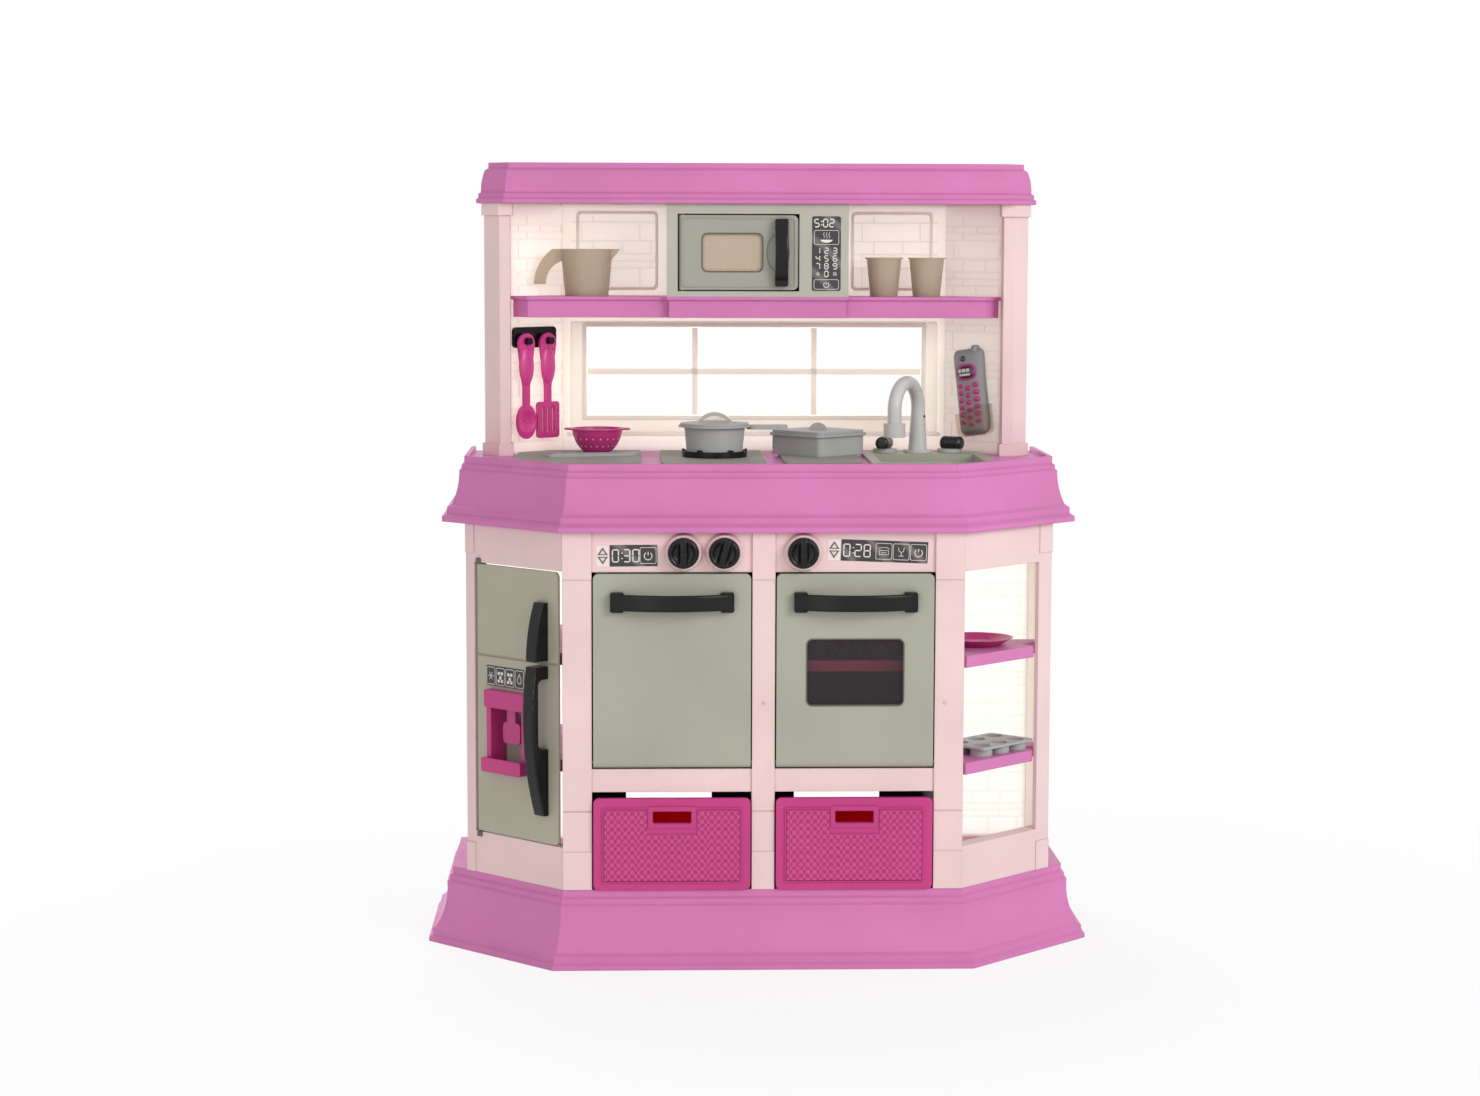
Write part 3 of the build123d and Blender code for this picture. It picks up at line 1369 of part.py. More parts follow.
# Drop-down doors: round lower edge on its pins, hollow back; the oven door has a window opening
for side, name in ((-1, "dishwasher_door"), (1, "oven_door")):
    with BuildPart() as drop_door:
        with BuildSketch(Plane.YZ.offset(side * opening_centre)):
            with Locations((pivot_y, (pivot_level + door_top) / 2)):
                Rectangle(door_thickness, door_top - pivot_level)
            with Locations((pivot_y, pivot_level)):
                Circle(door_thickness / 2)
        extrude(amount=door_width / 2, both=True)
        fillet(edges().filter_by(Axis.Y).group_by(Axis.Z)[-1], radius=door_corner)
        with BuildSketch(front_plane(pivot_y + door_thickness / 2)):
            pocket_bottom = pivot_level + door_thickness / 2 + wall
            with Locations((side * opening_centre, (pocket_bottom + door_top - door_rim) / 2)):
                Rectangle(door_width - 2 * door_rim, door_top - door_rim - pocket_bottom)
        extrude(amount=door_thickness - wall, mode=Mode.SUBTRACT)
        if side > 0:
            with BuildSketch(front_plane(door_front)):
                with Locations((opening_centre, window_level)):
                    RectangleRounded(window_width, window_height, plate_corner)
            extrude(amount=-door_thickness, mode=Mode.SUBTRACT)
        with BuildSketch(Plane.YZ.offset(side * opening_centre)):
            with Locations((pivot_y, pivot_level)):
                Circle(door_pin_radius)
        extrude(amount=opening_width / 2 + door_pin_reach, both=True)
    save(drop_door, name)

# Handles of the drop-down doors: a level band that bows out between two block feet
for side, name in ((-1, "dishwasher_handle"), (1, "oven_handle")):
    with BuildPart() as drop_handle:
        seat_y = door_front - foot_height
        handle_x = side * opening_centre
        bow_strap((handle_x - handle_span / 2, seat_y, handle_level),
                  (handle_x, door_front - handle_reach, handle_level),
                  (handle_x + handle_span / 2, seat_y, handle_level), (0, 0, 1), strap_width)
        for end in (-1, 1):
            handle_foot((handle_x + end * handle_span / 2, door_front, handle_level), (1, 0, 0), (0, -1, 0),
                        foot_width, foot_length, foot_height + strap_thickness / 2)
    save(drop_handle, name)

# Oven window, behind the door's front wall
with BuildPart() as oven_window:
    with BuildSketch(front_plane(door_front + wall)):
        with Locations((opening_centre, window_level)):
            RectangleRounded(window_width + 2 * window_lap, window_height + 2 * window_lap, plate_corner)
    extrude(amount=-pane_thickness)
save(oven_window, "oven_window")

# Drawers: rounded face with a finger slot and a raised field, and a tray behind it
face_y = corner_y - drawer_proud
face_bottom = base_height + slide_clearance
face_middle = face_bottom + drawer_height / 2
slot_level = face_bottom + drawer_height - drawer_slot_drop
tray_width = opening_width - 4 * door_gap
tray_inside = drawer_tray_length - drawer_face / 2 - drawer_wall
for side, name in ((-1, "left_drawer"), (1, "right_drawer")):
    drawer_x = side * opening_centre
    with BuildPart() as drawer:
        with BuildSketch(front_plane(face_y)):
            with Locations((drawer_x, face_middle)):
                RectangleRounded(opening_width - 2 * door_gap, drawer_height, door_corner)
        extrude(amount=-drawer_face)
        with BuildSketch(front_plane(face_y)):
            with Locations((drawer_x, face_middle)):
                Rectangle(opening_width - 2 * drawer_panel_margin, drawer_height - 2 * drawer_panel_margin)
        extrude(amount=drawer_panel_rise)
        with BuildSketch(Plane.XY.offset(base_height)):
            with Locations((drawer_x, face_y + drawer_face / 2 + drawer_tray_length / 2)):
                Rectangle(tray_width, drawer_tray_length)
        extrude(amount=drawer_tray_height)
        with BuildSketch(Plane.XY.offset(base_height + drawer_wall)):
            with Locations((drawer_x, face_y + drawer_face + tray_inside / 2)):
                Rectangle(tray_width - 2 * drawer_wall, tray_inside)
        extrude(amount=drawer_tray_height, mode=Mode.SUBTRACT)
        with BuildSketch(front_plane(face_y - drawer_panel_rise)):
            with Locations((drawer_x, slot_level)):
                RectangleRounded(drawer_slot_width, drawer_slot_height, drawer_slot_corner)
        extrude(amount=-2 * drawer_face, mode=Mode.SUBTRACT)
    save(drawer, name)


def vessel(place, level, foot, rim, height, thickness, lip, bulge=0):
    """Open round vessel with a thin floor and a small turned-out lip; its side may bulge like a bowl's."""
    under = height - thickness if lip > 0 else height
    with BuildSketch(Plane(origin=(place[0], place[1], level), x_dir=(1, 0, 0), z_dir=(0, -1, 0))) as section:
        with BuildLine() as outline:
            Line((0, 0), (foot, 0))
            side_curve((foot, 0), (rim, under), bulge)
            if lip > 0:
                Polyline((rim, under), (rim + lip, under), (rim + lip, height))
            Line((rim + lip, height), (rim - thickness, height))
            side_curve((rim - thickness, height), (foot - thickness, thickness), -bulge)
            Polyline((foot - thickness, thickness), (0, thickness), (0, 0))
        make_face(outline.edges())
    revolve(section.sketch, axis=Axis((place[0], place[1], level), (0, 0, 1)))


def side_curve(start, end, bulge):
    """Side of a vessel's section, straight or bulging."""
    if bulge == 0:
        Line(start, end)
    else:
        cove(start, end, bulge)


# Measuring cup with a spout to the right and a hooked handle to the left
with BuildPart() as measuring_cup:
    vessel((jug_x, jug_y), shelf_level, jug_foot_radius, jug_top_radius, jug_height, jug_wall, 0)
    with BuildSketch(front_plane(jug_y)):
        with BuildLine():
            Polyline((jug_x + jug_top_radius - jug_wall, shelf_level + jug_height),
                     (jug_x + jug_top_radius + jug_spout, shelf_level + jug_height),
                     (jug_x + jug_top_radius - jug_wall, shelf_level + jug_height * 0.75), close=True)
        make_face()
    extrude(amount=jug_spout_half, both=True)
    with BuildSketch(front_plane(jug_y)):
        with BuildLine():
            grip_top = shelf_level + jug_height
            grip_x = jug_x - jug_top_radius
            Polyline((grip_x + jug_wall, grip_top), (grip_x - jug_handle_reach * 0.3, grip_top))
            ThreePointArc((grip_x - jug_handle_reach * 0.3, grip_top),
                          (grip_x - jug_handle_reach * 0.72, grip_top - jug_height * 0.25),
                          (grip_x - jug_handle_reach, grip_top - jug_height * 0.75))
            Line((grip_x - jug_handle_reach, grip_top - jug_height * 0.75),
                 (grip_x - jug_handle_reach + jug_grip_tip, grip_top - jug_height * 0.75))
            ThreePointArc((grip_x - jug_handle_reach + jug_grip_tip, grip_top - jug_height * 0.75),
                          (grip_x - jug_handle_reach * 0.3, grip_top - jug_height * 0.38),
                          (grip_x + jug_wall, grip_top - jug_height * 0.26))
            Line((grip_x + jug_wall, grip_top - jug_height * 0.26), (grip_x + jug_wall, grip_top))
        make_face()
    extrude(amount=jug_grip_half, both=True)
save(measuring_cup, "measuring_cup")

# Two cups
for inset, name in zip(cup_sides, ("left_cup", "right_cup")):
    with BuildPart() as cup:
        vessel((wall_half - inset, cup_y), shelf_level, cup_foot_radius, cup_top_radius - cup_wall, cup_height,
               cup_wall, cup_wall)
    save(cup, name)

# Colander: bowl with rim, two lugs and a ring of drain holes
with BuildPart() as colander:
    vessel((colander_x, colander_y), plate_level, colander_foot_radius, colander_rim_radius, colander_height,
           colander_wall, colander_wall, colander_bulge)
    with BuildSketch(Plane.XY.offset(plate_level + colander_height - colander_wall)):
        with Locations((colander_x, colander_y)):
            SlotOverall(2 * (colander_rim_radius + colander_lug), colander_lug_width)
            Circle(colander_rim_radius, mode=Mode.SUBTRACT)
    extrude(amount=colander_wall)
    with BuildSketch(Plane.XY.offset(plate_level)):
        with Locations((colander_x, colander_y)):
            for ring in (0.4, 0.75):
                with PolarLocations(colander_foot_radius * ring, colander_holes // 2):
                    Circle(colander_hole_radius)
    extrude(amount=colander_wall, mode=Mode.SUBTRACT)
save(colander, "colander")

# Pot with a long looped handle
with BuildPart() as pot:
    vessel((pot_x, grate_y), grate_level, pot_radius - prong_length, pot_radius, pot_height, pot_wall,
           pot_rim_radius - pot_radius)
    with BuildSketch(Plane.XY.offset(grate_level + pot_height - pot_handle_thickness)):
        with Locations((pot_x + pot_rim_radius + pot_handle_length / 2 - pot_wall, grate_y)):
            SlotOverall(pot_handle_length + 2 * pot_wall, pot_handle_width)
            with Locations((pot_handle_length / 5, 0)):
                SlotOverall(pot_handle_length / 3, pot_handle_width / 3, mode=Mode.SUBTRACT)
    extrude(amount=pot_handle_thickness)
    with BuildSketch(Plane.XY.offset(grate_level + pot_wall)):
        with Locations((pot_x, grate_y)):
            Circle(pot_radius - pot_wall - prong_length)
    extrude(amount=pot_height, mode=Mode.SUBTRACT)
save(pot, "pot")

# Pot lid: shallow cone with an arched strap
lid_level = grate_level + pot_height
lid_radius = pot_rim_radius - pot_wall
with BuildPart() as pot_lid:
    with BuildSketch(Plane(origin=(pot_x, grate_y, lid_level), x_dir=(1, 0, 0), z_dir=(0, -1, 0))):
        fill_outline([(0, 0), (lid_radius, 0), (lid_radius, pot_wall), (lid_radius / 2, pot_lid_rise),
                      (0, pot_lid_rise + pot_wall / 2)])
    revolve(axis=Axis((pot_x, grate_y, lid_level), (0, 0, 1)))
    with BuildSketch(front_plane(grate_y)):
        strap_foot = lid_level + pot_wall
        strap_half = pot_lid_handle_span / 2
        with BuildLine():
            ThreePointArc((pot_x - strap_half, strap_foot), (pot_x, strap_foot + pot_lid_handle_rise),
                          (pot_x + strap_half, strap_foot))
            Line((pot_x + strap_half, strap_foot), (pot_x + strap_half - pot_lid_strap, strap_foot))
            ThreePointArc((pot_x + strap_half - pot_lid_strap, strap_foot),
                          (pot_x, strap_foot + pot_lid_handle_rise - pot_lid_strap),
                          (pot_x - strap_half + pot_lid_strap, strap_foot))
            Line((pot_x - strap_half + pot_lid_strap, strap_foot), (pot_x - strap_half, strap_foot))
        make_face()
    extrude(amount=pot_lid_strap, both=True)
save(pot_lid, "pot_lid")

# Casserole: square pan turned a corner to the front, with two ears
with BuildPart() as casserole:
    with BuildSketch(Plane.XY.offset(plate_level)):
        with Locations((hob_plate_x, casserole_y)):
            RectangleRounded(casserole_side, casserole_side, casserole_corner, rotation=45)
    extrude(amount=casserole_height)
    with BuildSketch(Plane.XY.offset(plate_level + casserole_height - casserole_rim)):
        with Locations((hob_plate_x, casserole_y)):
            RectangleRounded(casserole_side + 2 * casserole_rim, casserole_side + 2 * casserole_rim,
                             casserole_corner + casserole_rim, rotation=45)
    extrude(amount=casserole_rim)
    with BuildSketch(Plane.XY.offset(plate_level + wall)):
        with Locations((hob_plate_x, casserole_y)):
            RectangleRounded(casserole_side - 2 * wall, casserole_side - 2 * wall, casserole_corner - wall,
                             rotation=45)
    extrude(amount=casserole_height, mode=Mode.SUBTRACT)
save(casserole, "casserole")

# Casserole lid with a half-round knob
casserole_lid_level = plate_level + casserole_height
with BuildPart() as casserole_lid:
    with BuildSketch(Plane.XY.offset(casserole_lid_level)):
        with Locations((hob_plate_x, casserole_y)):
            RectangleRounded(casserole_side, casserole_side, casserole_corner, rotation=45)
    extrude(amount=casserole_lid_thickness)
    with BuildSketch(front_plane(casserole_y)):
        with Locations((hob_plate_x, casserole_lid_level + casserole_lid_thickness)):
            Ellipse(casserole_knob_width / 2, casserole_knob_rise)
            with Locations((0, -casserole_knob_rise / 2)):
                Rectangle(casserole_knob_width, casserole_knob_rise, mode=Mode.SUBTRACT)
    extrude(amount=casserole_knob_half, both=True)
save(casserole_lid, "casserole_lid")


def cutlery_plane(place):
    """Plane on the drain plate, turned with the cutlery."""
    heading = radians(cutlery_turn)
    origin = (place[0] - wall_half, place[1] + wall_y, plate_level)
    return Plane(origin=origin, x_dir=(cos(heading), sin(heading), 0))


# Knife: grip and straight blade
with BuildPart() as knife:
    with BuildSketch(cutlery_plane(knife_place)):
        with Locations((-cutlery_length / 4, 0)):
            SlotOverall(cutlery_length / 2, cutlery_width)
        with Locations((cutlery_length / 4 - tine_gap, 0)):
            Rectangle(cutlery_length / 2, blade_width)
    extrude(amount=cutlery_thickness)
save(knife, "knife")

# Fork: grip, neck and three tines
with BuildPart() as fork:
    with BuildSketch(cutlery_plane(fork_place)):
        with Locations((-cutlery_length / 4, 0)):
            SlotOverall(cutlery_length / 2, cutlery_width)
        Rectangle(cutlery_length / 2, fork_neck_width)
        with Locations((cutlery_length / 4 + cutlery_width, 0)):
            RectangleRounded(fork_head_length, fork_head_width, plate_corner)
        with Locations((cutlery_length / 2, -fork_head_width / 6), (cutlery_length / 2, fork_head_width / 6)):
            SlotOverall(tine_length, tine_gap, mode=Mode.SUBTRACT)
    extrude(amount=cutlery_thickness)
save(fork, "fork")


def utensil_grip(place):
    """Grip and neck of a hanging utensil, with the eye that takes the peg."""
    top = peg_level + utensil_top
    half = utensil_grip_width / 2
    neck = utensil_neck_width / 2
    shoulder = top - utensil_grip_length
    end = top - utensil_neck_end
    with BuildLine() as grip:
        ThreePointArc((place - half, top - half), (place, top), (place + half, top - half))
        Line((place + half, top - half), (place + neck, shoulder))
        Line((place + neck, shoulder), (place + neck, end))
        Line((place + neck, end), (place - neck, end))
        Line((place - neck, end), (place - neck, shoulder))
        Line((place - neck, shoulder), (place - half, top - half))
    make_face(grip.edges())
    with Locations((place, peg_level)):
        Circle(peg_radius + slide_clearance, mode=Mode.SUBTRACT)


utensil_plane = splay_plane(-1, rack_thickness + utensil_offset)
with BuildPart() as spoon:
    with BuildSketch(utensil_plane):
        utensil_grip(peg_places[0])
        with Locations((peg_places[0], peg_level + utensil_top - utensil_length + spoon_length / 2)):
            Ellipse(spoon_width / 2, spoon_length / 2)
    extrude(amount=utensil_thickness)
    scoop = Vector(peg_places[0], peg_level + utensil_top - utensil_length + spoon_length / 2,
                   utensil_thickness + spoon_scoop_radius - spoon_scoop_depth)
    with Locations(utensil_plane.from_local_coords(scoop)):
        Sphere(spoon_scoop_radius, mode=Mode.SUBTRACT)
save(spoon, "spoon")

with BuildPart() as spatula:
    with BuildSketch(utensil_plane):
        utensil_grip(peg_places[1])
        with Locations((peg_places[1], peg_level + utensil_top - utensil_length + spatula_length / 2)):
            RectangleRounded(spatula_width, spatula_length, utensil_thickness)
            with GridLocations(2 * spatula_slot, 0, 3, 1):
                SlotOverall(spatula_length - 3 * spatula_slot, spatula_slot, rotation=90, mode=Mode.SUBTRACT)
    extrude(amount=utensil_thickness)
save(spatula, "spatula")

# Plate on the upper open shelf
with BuildPart() as dish:
    vessel(chamfer_point(1, dish_along, dish_depth), bay_shelf_levels[1] + shelf_edge,
           dish_foot_radius, dish_radius, dish_height, wall, 0)
save(dish, "dish")

# Muffin tray on the lower open shelf, in line with the shelf's front edge
tray_level = bay_shelf_levels[0] + shelf_edge
muffin_x, muffin_y = chamfer_point(1, muffin_along, muffin_depth)
muffin_plane = Plane(origin=(muffin_x, muffin_y, tray_level), x_dir=(diagonal, diagonal, 0), z_dir=(0, 0, 1))
with BuildPart() as muffin_tray:
    with BuildSketch(muffin_plane.offset(muffin_cup_depth)):
        RectangleRounded(muffin_length, muffin_width, plate_corner)
    extrude(amount=muffin_rim)
    with BuildSketch(muffin_plane):
        with GridLocations(muffin_length / 3, muffin_width / 2, 3, 2):
            Circle(muffin_cup_radius)
    extrude(amount=muffin_cup_depth)
    with BuildSketch(muffin_plane.offset(muffin_rim)):
        with GridLocations(muffin_length / 3, muffin_width / 2, 3, 2):
            Circle(muffin_cup_radius - muffin_rim)
    extrude(amount=muffin_cup_depth, mode=Mode.SUBTRACT)
save(muffin_tray, "muffin_tray")

# Screws that hold the back panel to the partitions
with BuildPart() as screws:
    with BuildSketch(front_plane(wall_y + wall + screw_head_height)):
        with Locations(*screw_places):
            Circle(screw_head_radius)
    extrude(amount=screw_head_height)
    with BuildSketch(front_plane(wall_y + wall)):
        with Locations(*screw_places):
            Circle(screw_shank_radius)
    extrude(amount=wall + screw_length)
save(screws, "screws")
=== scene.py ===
import json
from math import cos, radians, sin, pi, sqrt

import bmesh
import bpy
from mathutils import Matrix, Vector
from mathutils.bvhtree import BVHTree


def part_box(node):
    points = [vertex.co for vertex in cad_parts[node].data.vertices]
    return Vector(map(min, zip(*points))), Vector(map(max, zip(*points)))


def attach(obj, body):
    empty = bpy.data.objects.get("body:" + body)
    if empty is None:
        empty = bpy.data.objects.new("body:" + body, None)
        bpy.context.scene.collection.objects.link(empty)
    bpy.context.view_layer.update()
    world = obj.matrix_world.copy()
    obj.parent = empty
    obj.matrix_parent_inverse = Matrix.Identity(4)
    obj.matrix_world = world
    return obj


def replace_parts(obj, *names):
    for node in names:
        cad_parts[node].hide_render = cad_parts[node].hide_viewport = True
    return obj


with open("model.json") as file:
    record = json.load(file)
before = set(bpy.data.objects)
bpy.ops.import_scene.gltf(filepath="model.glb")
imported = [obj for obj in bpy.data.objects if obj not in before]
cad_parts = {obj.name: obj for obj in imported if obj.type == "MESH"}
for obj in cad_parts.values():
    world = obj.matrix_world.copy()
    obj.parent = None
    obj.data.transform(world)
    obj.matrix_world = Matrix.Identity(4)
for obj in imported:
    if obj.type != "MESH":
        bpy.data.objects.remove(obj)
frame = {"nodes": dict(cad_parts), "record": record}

MM = 0.001
DIAGONAL = sqrt(0.5)
nodes = frame["nodes"]
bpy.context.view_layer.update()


def linear(colour):
    """Linear colour from 0-255 screen values."""
    out = []
    for value in colour:
        share = value / 255
        out.append(share / 12.92 if share <= 0.04045 else ((share + 0.055) / 1.055) ** 2.4)
    return (*out, 1)


class Shader:
    """A node tree being wired, with short calls for the nodes that the materials share."""

    def __init__(self, name):
        self.material = bpy.data.materials.new(name)
        self.material.use_nodes = True
        self.tree = self.material.node_tree
        self.bsdf = self.tree.nodes["Principled BSDF"]
        self.coordinates = self.node("ShaderNodeTexCoord").outputs["Object"]

    def node(self, kind, **settings):
        made = self.tree.nodes.new(kind)
        for key, value in settings.items():
            setattr(made, key, value)
        return made

    def link(self, out, into):
        self.tree.links.new(out, into)

    def noise(self, scale, detail=3, roughness=0.5, stretch=(1, 1, 1)):
        mapping = self.node("ShaderNodeMapping")
        mapping.inputs["Scale"].default_value = stretch
        self.link(self.coordinates, mapping.inputs["Vector"])
        texture = self.node("ShaderNodeTexNoise")
        texture.inputs["Scale"].default_value = scale
        texture.inputs["Detail"].default_value = detail
        texture.inputs["Roughness"].default_value = roughness
        self.link(mapping.outputs["Vector"], texture.inputs["Vector"])
        return texture.outputs["Fac"]

    def span(self, value, low, high, from_low=0.3, from_high=0.7):
        made = self.node("ShaderNodeMapRange")
        made.inputs["From Min"].default_value = from_low
        made.inputs["From Max"].default_value = from_high
        made.inputs["To Min"].default_value = low
        made.inputs["To Max"].default_value = high
        self.link(value, made.inputs["Value"])
        return made.outputs["Result"]

    def math(self, operation, first, second):
        made = self.node("ShaderNodeMath", operation=operation)
        for index, value in enumerate((first, second)):
            if isinstance(value, (int, float)):
                made.inputs[index].default_value = value
            else:
                self.link(value, made.inputs[index])
        return made.outputs["Value"]

    def mix(self, share, first, second):
        made = self.node("ShaderNodeMix", data_type="RGBA")
        for key, value in (("Factor", share), ("A", first), ("B", second)):
            socket = [s for s in made.inputs if s.name == key and s.enabled][0]
            if isinstance(value, (int, float, tuple)):
                socket.default_value = value
            else:
                self.link(value, socket)
        return [s for s in made.outputs if s.enabled][0]

    def axis(self, name):
        split = self.node("ShaderNodeSeparateXYZ")
        self.link(self.coordinates, split.inputs["Vector"])
        return split.outputs[name]


def shade(colour, amount):
    """The colour, lighter or darker by that share."""
    return tuple(min(1, c * (1 + amount)) for c in colour[:3]) + (1,)


# Scales of the noises, in patches to the metre, and depth of the grain
MOTTLE, SHEEN, CHAFE, RIPPLE, SPECKLE, GRAIN = 9, 28, 55, 60, 260, 1500
GRAIN_DEPTH = 0.00012
# Reach of the painted shade in crevices, and its dark and pale colours
CREVICE = 0.004
SHADE_DARK = (0.05, 0.02, 0.03, 1)
SHADE_PALE = (0.5, 0.38, 0.34, 1)


def plastic(name, colour, roughness=0.38, grain=0.25, edge=0.0008, edge_rub_and_highlight=0.16, tone=0.05, parts=None, through=0,
            through_colour=None, beyond=None, zone=None, inside=None, grime=0.2, dust=SHADE_DARK, **settings):
    """Moulded plastic: mottled tone, uneven gloss, fine grain, rounded and rubbed edges with a painted
    highlight, painted shade in the crevices.
    parts gives other colours by place: a list of (axis, limit, colour), each for the side above the limit.
    through is the share of light that a thin wall lets through. beyond keeps it to where Y is past a limit,
    or to both outer sides past a limit in X. zone is (half width, low, high, share) where a thinner wall
    lets more through. inside is (half width, depth, colour) of the faces that look into the closed
    compartments, painted dark as shade there. grime is how dark the painted shade in the crevices gets, and
    dust is its colour."""
    made = Shader(name)
    base = linear(colour)
    broad = made.noise(MOTTLE, 4)
    fine = made.noise(SPECKLE, 2)
    low, high = shade(base, -tone), shade(base, tone)
    tint = made.mix(made.span(broad, 0, 1), low, high)
    for axis, limit, other in parts or []:
        other = linear(other)
        varied = made.mix(made.span(broad, 0, 1), shade(other, -tone), shade(other, tone))
        side = made.math("GREATER_THAN", made.axis(axis), limit)
        tint = made.mix(side, tint, varied)
    # Painted shade: faces that look into the closed compartments take a near-black colour
    if inside:
        half, depth, other = inside
        near = made.math("LESS_THAN", made.math("ABSOLUTE", made.axis("X"), 0), half)
        near = made.math("MULTIPLY", near, made.math("LESS_THAN", made.axis("Y"), depth))
        tint = made.mix(near, tint, linear(other))
    # Painted shade: crevices darken towards the shade colour by ambient occlusion
    if grime:
        crevice = made.node("ShaderNodeAmbientOcclusion", samples=4)
        crevice.inputs["Distance"].default_value = CREVICE
        tint = made.mix(made.span(crevice.outputs["AO"], grime, 0, 0.3, 0.9), tint, dust)
    # Edges: lighter where rubbed, partly wear and partly a painted highlight; rougher there as well
    bevel = made.node("ShaderNodeBevel", samples=4)
    bevel.inputs["Radius"].default_value = edge
    geometry = made.node("ShaderNodeNewGeometry")
    dot = made.node("ShaderNodeVectorMath", operation="DOT_PRODUCT")
    made.link(bevel.outputs["Normal"], dot.inputs[0])
    made.link(geometry.outputs["Normal"], dot.inputs[1])
    rub_and_highlight = made.span(dot.outputs["Value"], edge_rub_and_highlight, 0, 0.75, 0.99)
    rub_and_highlight = made.math("MULTIPLY", rub_and_highlight, made.span(made.noise(CHAFE, 4, 0.65), 0.2, 1))
    tint = made.mix(rub_and_highlight, tint, shade(base, 0.55))
    made.link(tint, made.bsdf.inputs["Base Color"])
    gloss = made.math("ADD", made.span(made.noise(SHEEN, 5, 0.6), roughness - 0.05, roughness + 0.06),
                      made.span(fine, -0.025, 0.025))
    made.link(made.math("ADD", gloss, made.math("MULTIPLY", rub_and_highlight, 0.3)), made.bsdf.inputs["Roughness"])
    bump = made.node("ShaderNodeBump")
    bump.inputs["Strength"].default_value = grain
    bump.inputs["Distance"].default_value = GRAIN_DEPTH
    height = made.math("ADD", made.noise(GRAIN, 2), made.math("MULTIPLY", made.noise(RIPPLE, 2), 1.6))
    made.link(height, bump.inputs["Height"])
    made.link(bevel.outputs["Normal"], bump.inputs["Normal"])
    made.link(bump.outputs["Normal"], made.bsdf.inputs["Normal"])
    for socket, value in settings.items():
        made.bsdf.inputs[socket.replace("_", " ")].default_value = value
    if through:
        pass_on = made.node("ShaderNodeBsdfTranslucent")
        pass_on.inputs["Color"].default_value = linear(through_colour or colour)
        blend = made.node("ShaderNodeMixShader")
        if beyond:
            axis, limit = beyond
            reach = made.axis(axis)
            if axis == "X":
                reach = made.math("ABSOLUTE", reach, 0)
            far = made.math("GREATER_THAN", reach, limit)
            made.link(made.math("MULTIPLY", far, through), blend.inputs["Fac"])
        elif zone:
            half, low, high, share = zone
            within = made.math("LESS_THAN", made.math("ABSOLUTE", made.axis("X"), 0), half)
            within = made.math("MULTIPLY", within, made.math("GREATER_THAN", made.axis("Z"), low))
            within = made.math("MULTIPLY", within, made.math("LESS_THAN", made.axis("Z"), high))
            extra = made.math("MULTIPLY", within, share - through)
            made.link(made.math("ADD", extra, through), blend.inputs["Fac"])
        else:
            blend.inputs["Fac"].default_value = through
        made.link(made.bsdf.outputs["BSDF"], blend.inputs[1])
        made.link(pass_on.outputs["BSDF"], blend.inputs[2])
        made.link(blend.outputs["Shader"], made.tree.nodes["Material Output"].inputs["Surface"])
    return made.material


PINK = (210, 123, 181)
PALE = (234, 205, 205)
CREAM = (250, 245, 238)
GREY_GREEN = (166, 168, 153)
MAGENTA = (194, 52, 128)
SILVER = (176, 178, 177)
TAUPE = (216, 205, 186)
BLACK = (15, 15, 17)


def cream(name, **more):
    return plastic(name, CREAM, 0.46, tone=0.02, **more)


look = {
    "violet_pink": plastic("violet_pink", PINK, 0.4, edge=0.0018, grime=0.1, Specular_IOR_Level=0.35),
    "pale_pink": plastic("pale_pink", PALE, 0.42, edge=0.0012),
    "cream": cream("cream", grime=0.1, through=0.5, through_colour=(255, 250, 243)),
    "grey_green": plastic("grey_green", GREY_GREEN, 0.42, Specular_IOR_Level=0.4),
    "black": plastic("black", BLACK, 0.24, grain=0.03, edge_rub_and_highlight=0.02, tone=0.1, grime=0, Specular_IOR_Level=0.28),
    "magenta": plastic("magenta", MAGENTA, 0.34),
    "silver_grey": plastic("silver_grey", SILVER, 0.48, Specular_IOR_Level=0.25),
    "clear_taupe": plastic("clear_taupe", TAUPE, 0.26, grain=0.05, edge=0.0002, edge_rub_and_highlight=0, tone=0.02, grime=0,
                           through=0.55, through_colour=(224, 213, 194)),
    "smoked": plastic("smoked", (174, 164, 167), 0.1, grain=0.03, edge_rub_and_highlight=0, grime=0, Transmission_Weight=0.95,
                      IOR=1.22, Specular_IOR_Level=0.2),
    "steel": plastic("steel", (190, 190, 188), 0.3, Metallic=1.0),
}
for part in frame["record"]["subparts"]:
    cad = nodes[part["node"]]
    cad.data.materials.clear()
    cad.data.materials.append(look[part["material_slot"]])


def dress(node, material):
    nodes[node].data.materials[0] = material


# Nodes with a colour of their own, or with two colours; some colours here are painted shade or painted light
# Near-black painted shade for the inside of the closed compartments
COMPARTMENT_SHADE = (38, 34, 35)
BACK_Y, BAYS_HALF, POST_SKIN, TAP_BASE_TOP, NO_LIMIT = 0.1505, 0.2, 0.0005, 0.5545, 1
